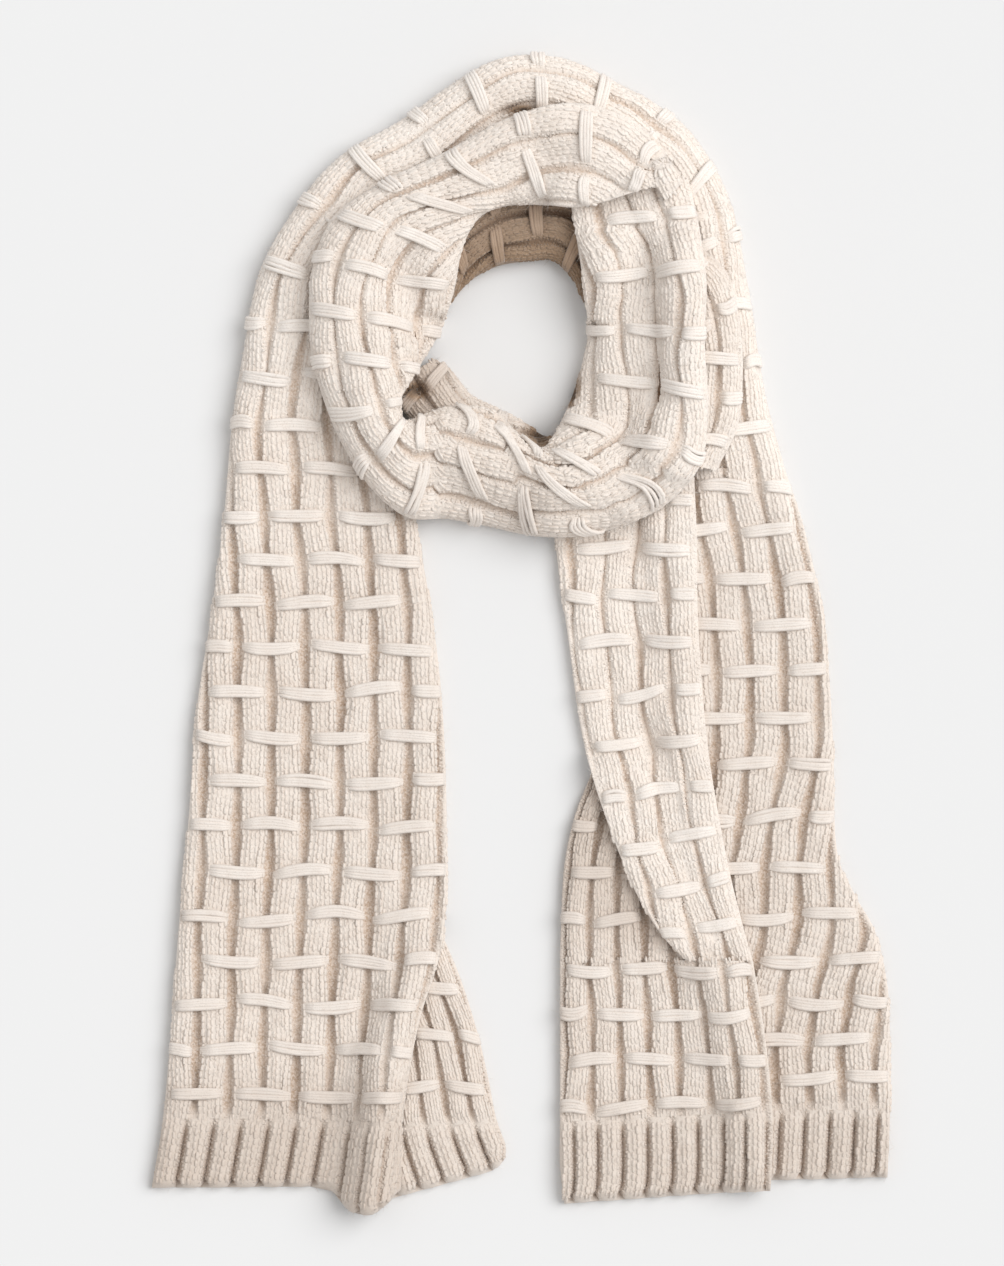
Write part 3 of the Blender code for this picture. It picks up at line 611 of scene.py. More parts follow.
def knit_shell(cloth, hollow):
    """The cloth of a stretch: the ribbed top, the lowest layer's round edge and the flat
    underside.  A roll of the neck loop has a plain hollow inside a wall of cloth."""
    top, groove = cloth.surface()
    foot = (cloth.under[:, 0], cloth.under[:, -1])
    edge = []
    for inset, height in LAYER_EDGE:
        share = (inset / cloth.widths)[:, None]
        outer = np.dstack((cloth.plan(share), (foot[0] + height * cloth.slit)[:, None]))
        inner = np.dstack((cloth.plan(1 - share), (foot[1] + height * cloth.slit)[:, None]))
        edge.append((outer, inner))
    under = np.dstack((cloth.plan(cloth.shares), cloth.under))
    around = [top] + [e[1] for e in edge] + [under[:, ::-1]] + [e[0] for e in edge[::-1]]
    rings = np.concatenate(around, axis=1)
    cloth.ring = rings.shape[1]
    for i, ring in enumerate(rings):
        ring[top.shape[1] :] = cloth.leant(ring[top.shape[1] :], cloth.runs[i])
    points, faces = rings_to_mesh(rings, 0, False, top.shape[1])
    depth = np.zeros(rings.shape[:2])
    depth[:, : groove.shape[1]] = groove
    depth = depth.ravel()
    if hollow:
        inner = hollow_rings(cloth)
        inside, inner_faces = rings_to_mesh(inner, len(points), True, 0)
        points = np.vstack((points, inside))
        faces += inner_faces
        depth = np.concatenate((depth, np.ones(len(inside))))
    mesh = bpy.data.meshes.new(cloth.name)
    mesh.from_pydata((points * MM).tolist(), [], faces)
    mesh.shade_smooth()
    mesh.set_sharp_from_angle(angle=math.radians(CREASE))
    # Painted shade: the grooves' depth paints them darker, and each point takes the shade of its
    # place.
    shade = np.ones(len(points))
    ring = np.arange(cloth.ring)
    for i, run in enumerate(cloth.runs):
        rib = np.interp(ring, np.arange(groove.shape[1]), cloth.ribs[i])
        shade[i * cloth.ring + ring] = cloth.shade(rings[i], rib, run + 0 * rib)
    store(mesh, groove=depth, shade=shade)
    mesh.materials.append(knit_wool)
    piece = bpy.data.objects.new("cloth_" + cloth.name, mesh)
    bpy.context.scene.collection.objects.link(piece)
    return piece


def hollow_rings(cloth):
    """The plain inside of a roll, a wall's thickness in from its crowns and underside."""
    pick = np.unique(np.linspace(0, len(cloth.columns) - 1, INSIDE_COLUMNS).astype(int))
    steps = np.arange(1, len(cloth.runs) - 1, 3)
    crown = cloth.crown[np.ix_(steps, pick)]
    outer, inner = cloth.rows[steps, None, 0:2], cloth.rows[steps, None, 2:4]
    width = cloth.widths[steps, None]
    share = np.linalg.norm(crown[..., 0:2] - outer, axis=2) / width
    share = np.clip(share, 2 * WALL / width, 1 - 2 * WALL / width)
    floor = interp_rows(share, cloth.shares[steps], cloth.under[steps])
    middle = (crown[..., 2] + floor) / 2
    half = np.maximum(crown[..., 2] - middle, 0.4)
    half = np.maximum(half - WALL - RIB_DEPTH / 2, 0.15 * half)
    plan = outer + (inner - outer) * share[..., None]
    over, below = np.dstack((plan, middle + half)), np.dstack((plan, middle - half))
    return np.concatenate((over, below[:, ::-1]), axis=1)


def lay(cuts, knit, *stretches, ridges=(), beside=(), looks=(), corner=0.0):
    """Lays the stretches of a strand, and makes the cloth of each.

    A cut gives the outer and the inner edge in plan, the cloth's rise and its ribs' pitch.
    A mark of the knit gives a cut, the float row there and the groove at the outer edge.
    A stretch gives its name, its first and last cut, a hem's pitch or 0, and whether it is
    a roll.  A look gives a cut, the painted shade at the outer and at the inner edge, how
    far the ribs are pressed together and how far the middle dips.  Shades go from 0 to 1,
    and over 1 towards the painted dark of a gap.  The hem at the strand's start may have a
    round corner.
    """
    strand = Strand(cuts, knit)
    before = []
    seams = [place for s in stretches if s[3] for place in s[1:3] if 0 < place < len(cuts) - 1]
    for name, first, last, hem_pitch, hollow in stretches:
        next_to = (*beside, *before[-1:])
        cloth = Cloth(
            name, strand, first, last, hem_pitch, ridges, next_to, seams, looks, corner
        )
        laid[name] = cloth
        cloth.piece = knit_shell(cloth, hollow)
        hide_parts(name)
        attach(cloth.piece, "root")
        before.append(name)


# Painted shade: both inside strands are painted darker, as in the shade of the rolls over them;
# the top one most.
lay(
    (
        (34, 98, 26, 118, 13, 17), (14, 88, 13, 113, 16, 17), (-7, 89, -1, 122, 18, 17),
        (-30, 97, -15, 129, 18, 17), (-50, 110, -29, 136, 18, 17), (-66, 125, -40, 149, 16, 17),
        (-77, 141, -50, 157, 13, 17),
    ),
    ((0, 0.0, 0.0), (6, 4.4, 0.0)),
    ("inner_bottom", 0, 6, 0, True),
    looks=(
        (0, 0.5, 0.4, 1, 0), (2, 0.3, 0.2, 1, 0), (4, 0.35, 0.2, 1, 0), (6, 0.6, 0.35, 1, 0),
    ),
)
lay(
    (
        (-52, 213, -41, 190, 14, 17.5), (-41, 233, -30, 202, 17, 17.5),
        (-20, 248, -15, 210, 18, 17.5), (3, 253, 3, 213, 18, 17.5),
        (27, 252, 17, 213, 18, 17.5), (46, 240, 28, 202, 16, 17.5),
        (54, 222, 34, 189, 11, 17.5),
    ),
    ((0, 0.3, 0.0), (6, 5.0, 0.0)),
    ("inner_top", 0, 6, 0, True),
    looks=((0, 0.9, 1.03, 0.6, 0), (3, 0.9, 1.03, 0.6, 0), (6, 0.95, 1.05, 0.6, 0)),
)


# ---------------------------------------------------------------------------------------
# The layers that lie tucked under each tail.  They are the far edge of the same knitted
# band, folded back under it, and show beside the pleat on the left and under the fold on
# the right.

# Painted shade: the tucks are painted darker, as in the shade of what lies over them.
lay(
    (
        (-5, -302, -79, -322, 12, 14), (-15, -278, -76, -281, 12, 14),
        (-20, -254, -73, -254, 11, 13.5), (-26, -228, -68, -228, 10, 13),
        (-36, -196, -66, -196, 9, 13), (-46, -172, -62, -172, 8, 13),
    ),
    ((0, -1.0, -0.1), (1, 0.24, -0.1), (5, 3.96, -0.1)),
    ("hem_left_tuck", 0, 1, 14.0, False),
    ("tail_left_tuck", 1, 5, 0, False),
    looks=((0, 0.3, 0.3, 0, 0.1), (1.3, 0.22, 0.24, 0, 0.1), (5, 0.15, 0.3, 0, 0.1)),
    corner=14.0,
)
lay(
    (
        (20.5, -185, 98.5, -185, 11, 15.6), (21, -168, 93, -168, 11, 15.4),
        (23, -131, 80, -131, 11, 15), (29, -103, 66, -103, 10, 15), (38, -80, 54, -80, 8, 15),
    ),
    ((0, 1.2, -0.21), (4, 5.0, -0.16)),
    ("tail_right_tuck", 0, 4, 0, False),
    looks=((0, 0.23, 0.2, 0, 0.1), (1.1, 0.25, 0.55, 0, 0.1), (4, 0.45, 0.8, 0, 0.1)),
)


# ---------------------------------------------------------------------------------------
# The left tail and the outer turn of the loop.  One run of the band: from the hem, up the
# left side, over the top of the loop and down its right side.  Near the hem a pleat
# stands up in it, and its edge pushes the hem out.

lay(
    (
        (-212, -315, -70, -314, 12, 19), (-205.5, -275, -69, -276, 12, 19),
        (-200.5, -220, -60, -222, 12, 19), (-197, -172, -46, -172, 12, 19.4),
        (-191, -105, -44, -105, 12, 19.4), (-186, -40, -46.5, -40, 12, 19.4),
        (-178.5, 9, -52, 9, 13, 19.4), (-171, 66, -61.5, 66, 15, 19.4),
        (-166, 122, -68, 119, 18, 19.4), (-159, 165, -76, 160, 21, 19.4),
        (-150, 208, -86, 192, 23, 19.4), (-130, 243, -84, 214, 24, 19.4),
        (-105, 272, -66, 234, 24, 19.6), (-70, 293, -46, 252, 25, 20),
        (-21, 325, -8, 280, 27, 20), (18, 329, 16, 283, 28, 20), (56.5, 312.5, 42, 270, 28, 20),
        (92, 289, 64, 252, 27, 20), (116, 250, 84, 226, 26, 20),
        (127.5, 199, 92, 190, 24, 19.6), (137, 139, 94, 136, 21, 19.4),
        (148.5, 94.5, 86, 94.5, 16.5, 19.4),
    ),
    (
        (0, 0.84, 0), (1, 2.46, 0), (2, 4.6, 0.12), (3, 6.55, 0.3), (4, 9.16, 0.5),
        (5, 11.7, 0.7), (6, 13.65, 1.1), (7, 15.93, 1.7), (8, 18.1, 2), (10, 20.9, 2),
        (21, 33.7, 2),
    ),
    ("hem_left", 0, 1, 15.5, False),
    ("tail_left", 1, 7, 0, False),
    ("turn_left", 7, 12, 0, True),
    ("turn_top", 12, 18, 0, True),
    ("turn_right", 18, 21, 0, True),
    ridges=(
        Ridge(-57, -178, -81, -245, 20, 1, 11),
        Ridge(-81, -245, -92, -325, 23, 11, 17),
    ),
    looks=(
        (0, 0.43, 0.43, 0, 0.3), (0.8, 0.4, 0.4, 0, 0.3), (1.7, 0.19, 0.19, 0, 0.27),
        (6, 0.16, 0.16, 0, 0.25), (8, 0.06, 0.1, 0.4, 0.14), (10, 0, 0.05, 0.9, 0.1),
        (13, 0, 0.15, 1, 0), (19, 0, 0, 1, 0), (21, 0, 0, 0.6, 0.06),
    ),
)


# ---------------------------------------------------------------------------------------
# The right tail: its flat layer, and the part of the band that is folded over along its
# left side.  The folded part widens below into a second layer with a hem of its own.

lay(
    (
        (148.5, 94.5, 86, 94.5, 16.5, 19.4), (160, 59, 85, 59, 12, 19.4),
        (171, 6, 86, 7, 11, 19.4), (176, -60, 91, -61, 11, 19.4),
        (178, -121, 101, -123, 11, 18.5), (188.5, -148, 109, -151, 11, 19),
        (200, -169, 114, -172, 11, 19.4), (207, -200, 118, -200, 11, 19.4),
        (208.5, -236, 124, -238, 11, 19), (208.5, -270, 128, -271, 11, 18.5),
        (207, -309, 130, -311, 12, 18),
    ),
    (
        (0, -0.4, 0), (1, 1, -0.2), (3, 5.5, -0.5), (4, 7.68, -1.2), (5, 8.7, -1.8),
        (6, 9.4, -2.4), (7, 10.6, -3.2), (8, 12.4, -3.6), (9, 13.9, -3.6), (10, 15.4, -3.6),
    ),
    ("tail_right", 0, 9, 0, False),
    ("hem_right", 9, 10, 14.0, False),
    beside=("turn_right",),
    looks=(
        (0, 0, 0, 0.6, 0.06), (1.5, 0.12, 0.2, 0.1, 0.18), (3, 0.14, 0.22, 0, 0.2),
        (8.5, 0.18, 0.28, 0, 0.2), (9.3, 0.34, 0.36, 0, 0.27),
    ),
)
lay(
    (
        (96, 100, 20, 100, 11, 18), (98, 59, 17.5, 60, 10, 18.5), (99, 6, 24.5, 3, 10, 18.5),
        (104, -60, 35.5, -68, 10, 17.5), (114, -121, 58, -134, 9, 16.5),
        (123, -160, 76, -167.5, 7.5, 15.8), (130, -185, 92, -185, 6.5, 15.6),
    ),
    ((0, -10.9, 0.0), (2, -7.3, 0.0), (4, -2.6, 0.0), (6, -0.2, 0.0)),
    ("tail_right_fold", 0, 6, 0, False),
    looks=((0, 0.03, 0.03, 1, 0.1), (5, 0.05, 0.05, 1, 0.1), (6, 0.12, 0.12, 0.5, 0.1)),
)
lay(
    (
        (130, -185, 20.5, -185, 11, 15.6), (135, -215, 20.5, -215, 11, 16),
        (139, -245, 20.5, -246, 11, 16.6), (141, -271, 20.5, -277, 11, 17),
        (141, -294, 20.5, -302, 12, 17), (140, -316, 23, -324, 12, 17),
    ),
    ((0, -0.2, -0.25), (3, 3.3, -0.2), (5, 5.0, -0.2)),
    ("fold_end", 0, 3, 0, False),
    ("hem_fold", 3, 5, 14.2, False),
    ridges=(
        Ridge(106, -185, 120, -255, 26, 7, 3),
        Ridge(120, -255, 127, -318, 22, 3, 3),
    ),
    beside=("tail_right_tuck", "tail_right_fold"),
    looks=(
        (0, 0.16, 0.23, 0.1, 0.11), (1, 0.15, 0.2, 0, 0.15), (2.4, 0.2, 0.2, 0, 0.16),
        (3.3, 0.3, 0.3, 0, 0.18), (5, 0.34, 0.34, 0, 0.2),
    ),
)


# ---------------------------------------------------------------------------------------
# The upper turn of the loop: the band gathered into a thick roll that closes the ring
# round the neck, with a looser flank of the same cloth beside it on the right.

lay(
    (
        (97, 222, 84, 208, 12, 16.5), (115, 205, 90, 188, 16, 16.5),
        (122, 178, 92, 168, 19, 16.5), (124, 148, 90, 142, 20, 16.5),
        (121, 118, 84, 118, 19, 16.5), (109, 93, 74, 102, 15, 16.5),
    ),
    ((0, 0.5, 0.0), (5, 5.6, 0.0)),
    ("loop_flank", 0, 5, 0, True),
    looks=((0, 0.05, 0.2, 1, 0), (5, 0.05, 0.2, 1, 0)),
)
lay(
    (
        (93, 258, 25, 252, 16, 19.5), (98, 236, 29, 230, 22, 20), (103, 200, 34, 196, 28, 20.5),
        (102, 165, 36, 168, 30, 20.5), (104, 130, 29.5, 142, 30, 20.5),
        (100, 97, 20, 119, 30, 21), (82, 75, 12, 107, 30, 21.5), (59, 63, 4, 108, 29, 21.5),
        (33, 56.5, -5, 116, 28, 21.5), (7, 56, -15, 126, 27, 21.5),
        (-19, 61.5, -30, 130, 26, 21), (-43, 66, -46, 129, 26, 21),
        (-67, 67, -59, 124, 26, 20.5), (-89, 86, -67, 122, 26, 20),
        (-107, 116, -71, 130, 27, 19.5), (-119, 152, -62, 148, 28, 19),
        (-122, 182, -49, 170, 28, 19), (-119, 212, -40, 194, 28, 19),
        (-107, 238, -35, 219, 28, 19.5), (-79, 257, -26, 236, 27, 20),
        (-44, 274, -12, 243, 27, 20.5), (-6, 294, 8, 244, 28, 21), (28, 301, 28, 242, 26, 21),
        (58, 293, 45, 245, 19, 20), (76, 279, 61, 250, 13, 19), (84, 265, 74, 253, 8, 18),
        (90, 256.5, 80, 245, 4, 18),
    ),
    (
        (0, -0.8, 0), (1, 0.1, 0), (4, 3.2, 0), (6, 4.85, 0), (9, 7, 0), (12, 9.2, 0),
        (15, 11.85, 0), (19, 16, 0), (21, 17.9, 0), (25, 20.4, 0), (26, 20.9, 0),
    ),
    ("loop_right", 0, 5, 0, True),
    ("loop_bottom", 5, 12, 0, True),
    ("loop_left", 12, 18, 0, True),
    ("loop_top", 18, 26, 0, True),
    looks=(
        (0, 0, 0, 1, 0), (6, 0.05, 0.05, 1, 0), (9, 0.12, 0.1, 1, 0), (12, 0.1, 0.06, 1, 0),
        (15, 0.06, 0.05, 1, 0), (20, 0.08, 0.08, 1, 0), (23, 0.02, 0.02, 1, 0),
    ),
)


# ---------------------------------------------------------------------------------------
# The knit stitches.  Three columns of them make each rib and two each rib of a hem: pairs
# of thick soft legs that meet in a V.  In the grooves the same yarn shows its purl side,
# rows of short cross bars.

STITCH_WIDE = 4.6  # millimetres, one column of stitches
STITCH_TALL = 4.0  # one row of them
LEG_WIDE = 2.2
LEG_LONG = 4.8
LEG_THICK = 1.5
LEG_SUNK = 0.22  # the middles of the legs lie this far under the cloth's surface
LEG_LEAN = 31.0  # degrees that a leg leans from the column
LEG_TWIST = 0.1  # radians that a stitch is turned at most
PURL_WIDE = 2.6
PURL_THICK = 1.9
PURL_TALL = 2.3  # from one row of purl bars to the next
PURL_SUNK = 0.4
PURL_TWIST = 0.9
UNEVEN_MM = 0.14  # how unevenly the stitches lie
UNEVEN_SIZE = 0.1  # how much they differ in size
UNEVEN_TONE = 0.22  # and in tone
RIB_STITCHES = (0.25, 0.5, 0.75)  # the columns across a rib
HEM_STITCHES = (0.31, 0.69)
PURL_BARS = (0.88, 0.96, 0.04, 0.12)
RIB_STITCH = 0.24  # width of a column, in ribs
HEM_STITCH = 0.36
STITCH_EDGE = 0.02  # a stitch is this far from the edge of the cloth at least, in ribs
HEM_BARE = 2.5  # the rounded end of a hem has no stitches over this length
FIT_LEAST = (0.45, 0.3)  # where the cloth is drawn in more across or along, none is set
FIT_OVER = (0.5, 1.25)  # and how far a stitch shrinks and grows with it, across
FIT_AHEAD = (0.5, 1.35)  # and along the rib
COVERED = 2.5  # what lies this far under another stretch is left out

stitch_dice = np.random.default_rng(3)


def new_tree(name, numbers):
    """A geometry tree with named number inputs and a material, and its input node."""
    tree = bpy.data.node_groups.new(name, "GeometryNodeTree")
    face = tree.interface
    face.new_socket("Geometry", in_out="INPUT", socket_type="NodeSocketGeometry")
    for label in numbers:
        face.new_socket(label, in_out="INPUT", socket_type="NodeSocketFloat")
    face.new_socket("Material", in_out="INPUT", socket_type="NodeSocketMaterial")
    face.new_socket("Geometry", in_out="OUTPUT", socket_type="NodeSocketGeometry")
    return tree, tree.nodes.new("NodeGroupInput").outputs


def close_tree(tree, geometry, material):
    """Ends a tree: instances made real, shaded smooth, and given their material."""
    real = add(tree, "GeometryNodeRealizeInstances", {"Geometry": geometry})
    smooth = add(tree, "GeometryNodeSetShadeSmooth", {"Geometry": real.outputs[0]})
    painted = add(
        tree, "GeometryNodeSetMaterial", {"Geometry": smooth.outputs[0], "Material": material}
    )
    add(tree, "NodeGroupOutput", {"Geometry": painted.outputs[0]})
    return tree


def stitch_tree(name, legs, segments, rings):
    """Sets a stitch on each point, across its rib and out from the cloth.  Its legs are
    given by their sides."""
    tree, given = new_tree(name, ("Width", "Length", "Thickness", "Spread", "Lean", "Twist"))
    form = {"Segments": segments, "Rings": rings, "Radius": 0.5}
    ball = add(tree, "GeometryNodeMeshUVSphere", form).outputs
    # Fibres run along a leg: the streaks' place is the ball's own UV map, stretched.
    streak = {0: ball["UV Map"], 1: (*FIBRE_STREAKS, 1.0)}
    streak = add(tree, "ShaderNodeVectorMath", streak, operation="MULTIPLY").outputs[0]
    spun = add(
        tree,
        "GeometryNodeStoreNamedAttribute",
        {"Geometry": ball["Mesh"], "Name": "spun", "Value": streak},
        data_type="FLOAT_VECTOR",
        domain="CORNER",
    )
    size = (given["Width"], given["Thickness"], given["Length"])
    grain = add(tree, "GeometryNodeTransform", {"Geometry": spun.outputs[0], "Scale": size})
    joined = tree.nodes.new("GeometryNodeJoinGeometry")
    shares = [("Spread", side) for side in legs] + [("Lean", -side) for side in legs]
    *turns, least_twist = [
        add(tree, "ShaderNodeMath", {0: given[label], 1: share}, operation="MULTIPLY").outputs[0]
        for label, share in (*shares, ("Twist", -1.0))
    ]
    for aside, lean in zip(turns[: len(legs)], turns[len(legs) :]):
        place = {"Translation": (aside, 0.0, 0.0), "Rotation": (math.pi / 2, lean, 0.0)}
        leg = add(tree, "GeometryNodeTransform", {"Geometry": grain.outputs[0], **place})
        tree.links.new(leg.outputs[0], joined.inputs[0])
    out, ahead, fit = [
        add(
            tree, "GeometryNodeInputNamedAttribute", {"Name": label}, data_type="FLOAT_VECTOR"
        ).outputs[0]
        for label in ("out", "ahead", "fit")
    ]
    facing = add(
        tree,
        "FunctionNodeAxesToRotation",
        {"Primary Axis": out, "Secondary Axis": ahead},
        primary_axis="Z",
        secondary_axis="Y",
    )
    twist, tone = [
        add(
            tree,
            "FunctionNodeRandomValue",
            {"Max": most, "Min": least, "Seed": seed},
            data_type="FLOAT",
        ).outputs[1]
        for most, least, seed in (
            (given["Twist"], least_twist, 7),
            (UNEVEN_TONE, -UNEVEN_TONE, 11),
        )
    ]
    twist = add(tree, "FunctionNodeEulerToRotation", {0: (0.0, 0.0, twist)})
    turned = add(
        tree,
        "FunctionNodeRotateRotation",
        {"Rotation": facing.outputs[0], "Rotate By": twist.outputs[0]},
        rotation_space="LOCAL",
    )
    placed = add(
        tree,
        "GeometryNodeInstanceOnPoints",
        {
            "Points": given["Geometry"],
            "Instance": joined.outputs[0],
            "Rotation": turned.outputs[0],
            "Scale": fit,
        },
    )
    toned = add(
        tree,
        "GeometryNodeStoreNamedAttribute",
        {"Geometry": placed.outputs[0], "Name": "tone", "Value": tone},
        data_type="FLOAT",
        domain="INSTANCE",
    )
    return close_tree(tree, toned.outputs[0], given["Material"])


knit_tree = stitch_tree("knit_stitches", (-1.0, 1.0), segments=5, rings=3)
purl_tree = stitch_tree("purl_bars", (0.0,), segments=4, rings=2)


def grown(name, mesh, tree, numbers, material):
    """The plain mesh that a tree makes of a mesh of points or lines."""
    source = bpy.data.objects.new(name, mesh)
    bpy.context.scene.collection.objects.link(source)
    maker = source.modifiers.new("maker", "NODES")
    maker.node_group = tree
    for item in tree.interface.items_tree:
        if item.in_out == "INPUT" and item.name in numbers:
            maker[item.identifier] = float(numbers[item.name])
        if item.in_out == "INPUT" and item.name == "Material":
            maker[item.identifier] = material
    graph = bpy.context.evaluated_depsgraph_get()
    made = bpy.data.meshes.new_from_object(source.evaluated_get(graph), depsgraph=graph)
    bpy.data.objects.remove(source)
    made.name = name
    piece = bpy.data.objects.new(name, made)
    bpy.context.scene.collection.objects.link(piece)
    return piece


def uncovered(cloth, points):
    """Which points no later stretch lies over."""
    order = list(laid)
    cover = np.zeros(MAP_SHAPE)
    for other in order[order.index(cloth.name) + 1 :]:
        cover = np.maximum(cover, laid[other].map)
    least = cover.copy()
    for di in (-1, 0, 1):
        for dj in (-1, 0, 1):
            least = np.minimum(least, np.roll(cover, (di, dj), (0, 1)))
    return least[cells(points[:, 0], points[:, 1])] < points[:, 2] + COVERED


def stitch_points(cloth, rib, run, wide, sunk, uneven):
    """A mesh of points on the cloth, with the way each faces and its fit to the cloth."""
    along, aside, deep, size = stitch_dice.normal(0, 1, (4, len(rib)))
    run = run + along * uneven
    rib = rib + aside * uneven / cloth.pitch.mean()
    point, groove = cloth.at(rib, run, deep * uneven / 2 - sunk)
    over = cloth.at(rib + 0.05, run)[0] - cloth.at(rib - 0.05, run)[0]
    ahead = cloth.at(rib, run + 1.0)[0] - cloth.at(rib, run - 1.0)[0]
    pitch = np.interp(run, cloth.runs, cloth.pitch)
    fit_over = np.linalg.norm(over, axis=1) / (0.1 * pitch)
    fit_ahead = np.linalg.norm(ahead, axis=1) / 2.0
    out, ahead = upward(over, ahead), unit(ahead)
    keep = uncovered(cloth, point) & (fit_over > FIT_LEAST[0]) & (fit_ahead > FIT_LEAST[1])
    size = 1 + UNEVEN_SIZE * size
    fit_over = wide / STITCH_WIDE * np.clip(fit_over, *FIT_OVER) * size
    fit_ahead = np.clip(fit_ahead, *FIT_AHEAD) * size
    fit = np.column_stack((fit_over, fit_ahead, size))
    mesh = bpy.data.meshes.new(cloth.name + "_points")
    mesh.from_pydata((point[keep] * MM).tolist(), [], [])
    # Painted shade: a stitch takes the shade of its place, and half the darkening of its groove.
    shade = cloth.shade(point, rib, run)[keep]
    store(mesh, out=out[keep], ahead=ahead[keep], fit=fit[keep])
    store(mesh, groove=0.5 * groove[keep], shade=shade)
    return mesh


def crossings(cloth, columns, step):
    """Rib and run coordinates of stitches in the given columns of every rib.  Every other
    column lies half a step on."""
    ribs, runs = [], []
    first = math.ceil((cloth.start - 0.5) / step)
    last = math.floor((cloth.end + 0.5) / step)
    for rib in range(math.floor(cloth.first.min()), math.ceil(cloth.last.max())):
        for n, column in enumerate(columns):
            row = (np.arange(first, last + 1) + 0.5 * (n % 2)) * step
            place = rib + column
            inside = np.interp(row, cloth.runs, cloth.last) - place
            inside = np.minimum(inside, place - np.interp(row, cloth.runs, cloth.first))
            bare = HEM_BARE * np.array(cloth.free)
            on_cloth = (row > cloth.start - 0.5 + bare[0]) & (row < cloth.end + 0.5 - bare[1])
            row = row[(inside > STITCH_EDGE) & on_cloth]
            ribs.append(np.full(len(row), place))
            runs.append(row)
    return np.concatenate(ribs), np.concatenate(runs)


def add_stitches(cloth):
    """The knit stitches and purl bars of one stretch, as one piece each."""
    columns = HEM_STITCHES if cloth.is_hem else RIB_STITCHES
    wide = (HEM_STITCH if cloth.is_hem else RIB_STITCH) * cloth.pitch.mean()
    rib, run = crossings(cloth, columns, STITCH_TALL)
    points = stitch_points(cloth, rib, run, wide, LEG_SUNK, UNEVEN_MM)
    numbers = {
        "Width": LEG_WIDE * MM,
        "Length": LEG_LONG * MM,
        "Thickness": LEG_THICK * MM,
        "Spread": STITCH_WIDE / 4 * MM,
        "Lean": math.radians(LEG_LEAN),
        "Twist": LEG_TWIST,
    }
    knits = grown("stitches_" + cloth.name, points, knit_tree, numbers, knit_wool)
    rib, run = crossings(cloth, PURL_BARS, PURL_TALL)
    points = stitch_points(cloth, rib, run, STITCH_WIDE, PURL_SUNK, 2 * UNEVEN_MM)
    numbers = {
        "Width": PURL_WIDE * MM,
        "Length": PURL_THICK * MM,
        "Thickness": PURL_THICK * MM,
        "Twist": PURL_TWIST,
    }
    purls = grown("purls_" + cloth.name, points, purl_tree, numbers, knit_wool)
    return [knits, purls]


for cloth in laid.values():
    cloth.trim = add_stitches(cloth)
    for piece in cloth.trim:
        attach(piece, "root")


# ---------------------------------------------------------------------------------------
# The floats.  Bundles of four strands of the same yarn that pass over two ribs, one rib
# over from one row to the next, and draw them together.  They lie loose on the crowns and
# dive into the groove beyond each rib.

FLOAT_STRANDS = 4
YARN_RADIUS = 1.3  # millimetres, as are the other measures here
STRAND_STEP = 1.6  # from one strand of a bundle to the next
FLOAT_HALF = 0.86  # half a float's length, in ribs
FLOAT_STATIONS = 10
FLOAT_LIFT = 1.2  # of the strands' middles over the crowns
FLOAT_DIVE = 3.2  # how far a strand's ends go down beside the rib
LOOSE = {"loop_bottom": 3.2, "loop_flank": 1.6, "loop_top": 1.5}  # slack; elsewhere it is 1
STRAY = (0.9, 1.1, 1.0)  # how far a bundle shifts, tilts and bows
TONE_RANGE = 0.15  # of one bundle from the next
NARROW = 0.35  # a strand and a bundle are this share thinner at their ends
FLOAT_EDGE = 0.06  # a float ends this far from the edge of the cloth, in ribs
FLOAT_LEAST = 0.7  # a shorter one is left out
SLACK = (0.05, 0.12)  # of a strand in its bundle, and for a slack of 1 as much more
STRAND_STRAY = 0.15  # from its place in the bundle
GIRTH_UNEVEN = 0.03
STREAK_MM = 6.0  # one streak of fibres along the yarn

float_wool = brushed_wool(
    "loose_float_yarn", FLOAT_LIT, FLOAT_SHADED, fleck_share=0.35, bump_mm=0.3
)
float_dice = np.random.default_rng(5)


def yarn_tree(name):
    """Round yarn along each line, thicker and thinner by its points' girth."""
    tree, given = new_tree(name, ("Radius",))
    line = add(tree, "GeometryNodeMeshToCurve", {"Mesh": given["Geometry"]})
    girth = add(tree, "GeometryNodeInputNamedAttribute", {"Name": "girth"}, data_type="FLOAT")
    ring = {"Resolution": 6, "Radius": given["Radius"]}
    ring = add(tree, "GeometryNodeCurvePrimitiveCircle", ring)
    whole = tree.nodes.new("GeometryNodeSplineParameter").outputs
    curves, places = [], []
    for label, curve, share, most in (
        ("along", line, whole["Length"], 1 / (STREAK_MM * MM)),
        ("around", ring, whole["Factor"], FIBRE_STREAKS[0]),
    ):
        place = add(tree, "ShaderNodeMath", {0: share, 1: most}, operation="MULTIPLY").outputs[0]
        stored = add(
            tree,
            "GeometryNodeStoreNamedAttribute",
            {"Geometry": curve.outputs[0], "Name": label, "Value": place},
            data_type="FLOAT",
            domain="POINT",
        )
        named = add(tree, "GeometryNodeInputNamedAttribute", {"Name": label}, data_type="FLOAT")
        curves.append(stored.outputs[0])
        places.append(named.outputs[0])
    sweep = {"Curve": curves[0], "Profile Curve": curves[1], "Fill Caps": True}
    yarn = add(tree, "GeometryNodeCurveToMesh", {**sweep, "Scale": girth.outputs[0]})
    spun = add(
        tree,
        "GeometryNodeStoreNamedAttribute",
        {"Geometry": yarn.outputs[0], "Name": "spun", "Value": (places[1], places[0], 0.0)},
        data_type="FLOAT_VECTOR",
        domain="POINT",
    )
    return close_tree(tree, spun.outputs[0], given["Material"])


float_tree = yarn_tree("float_yarns")


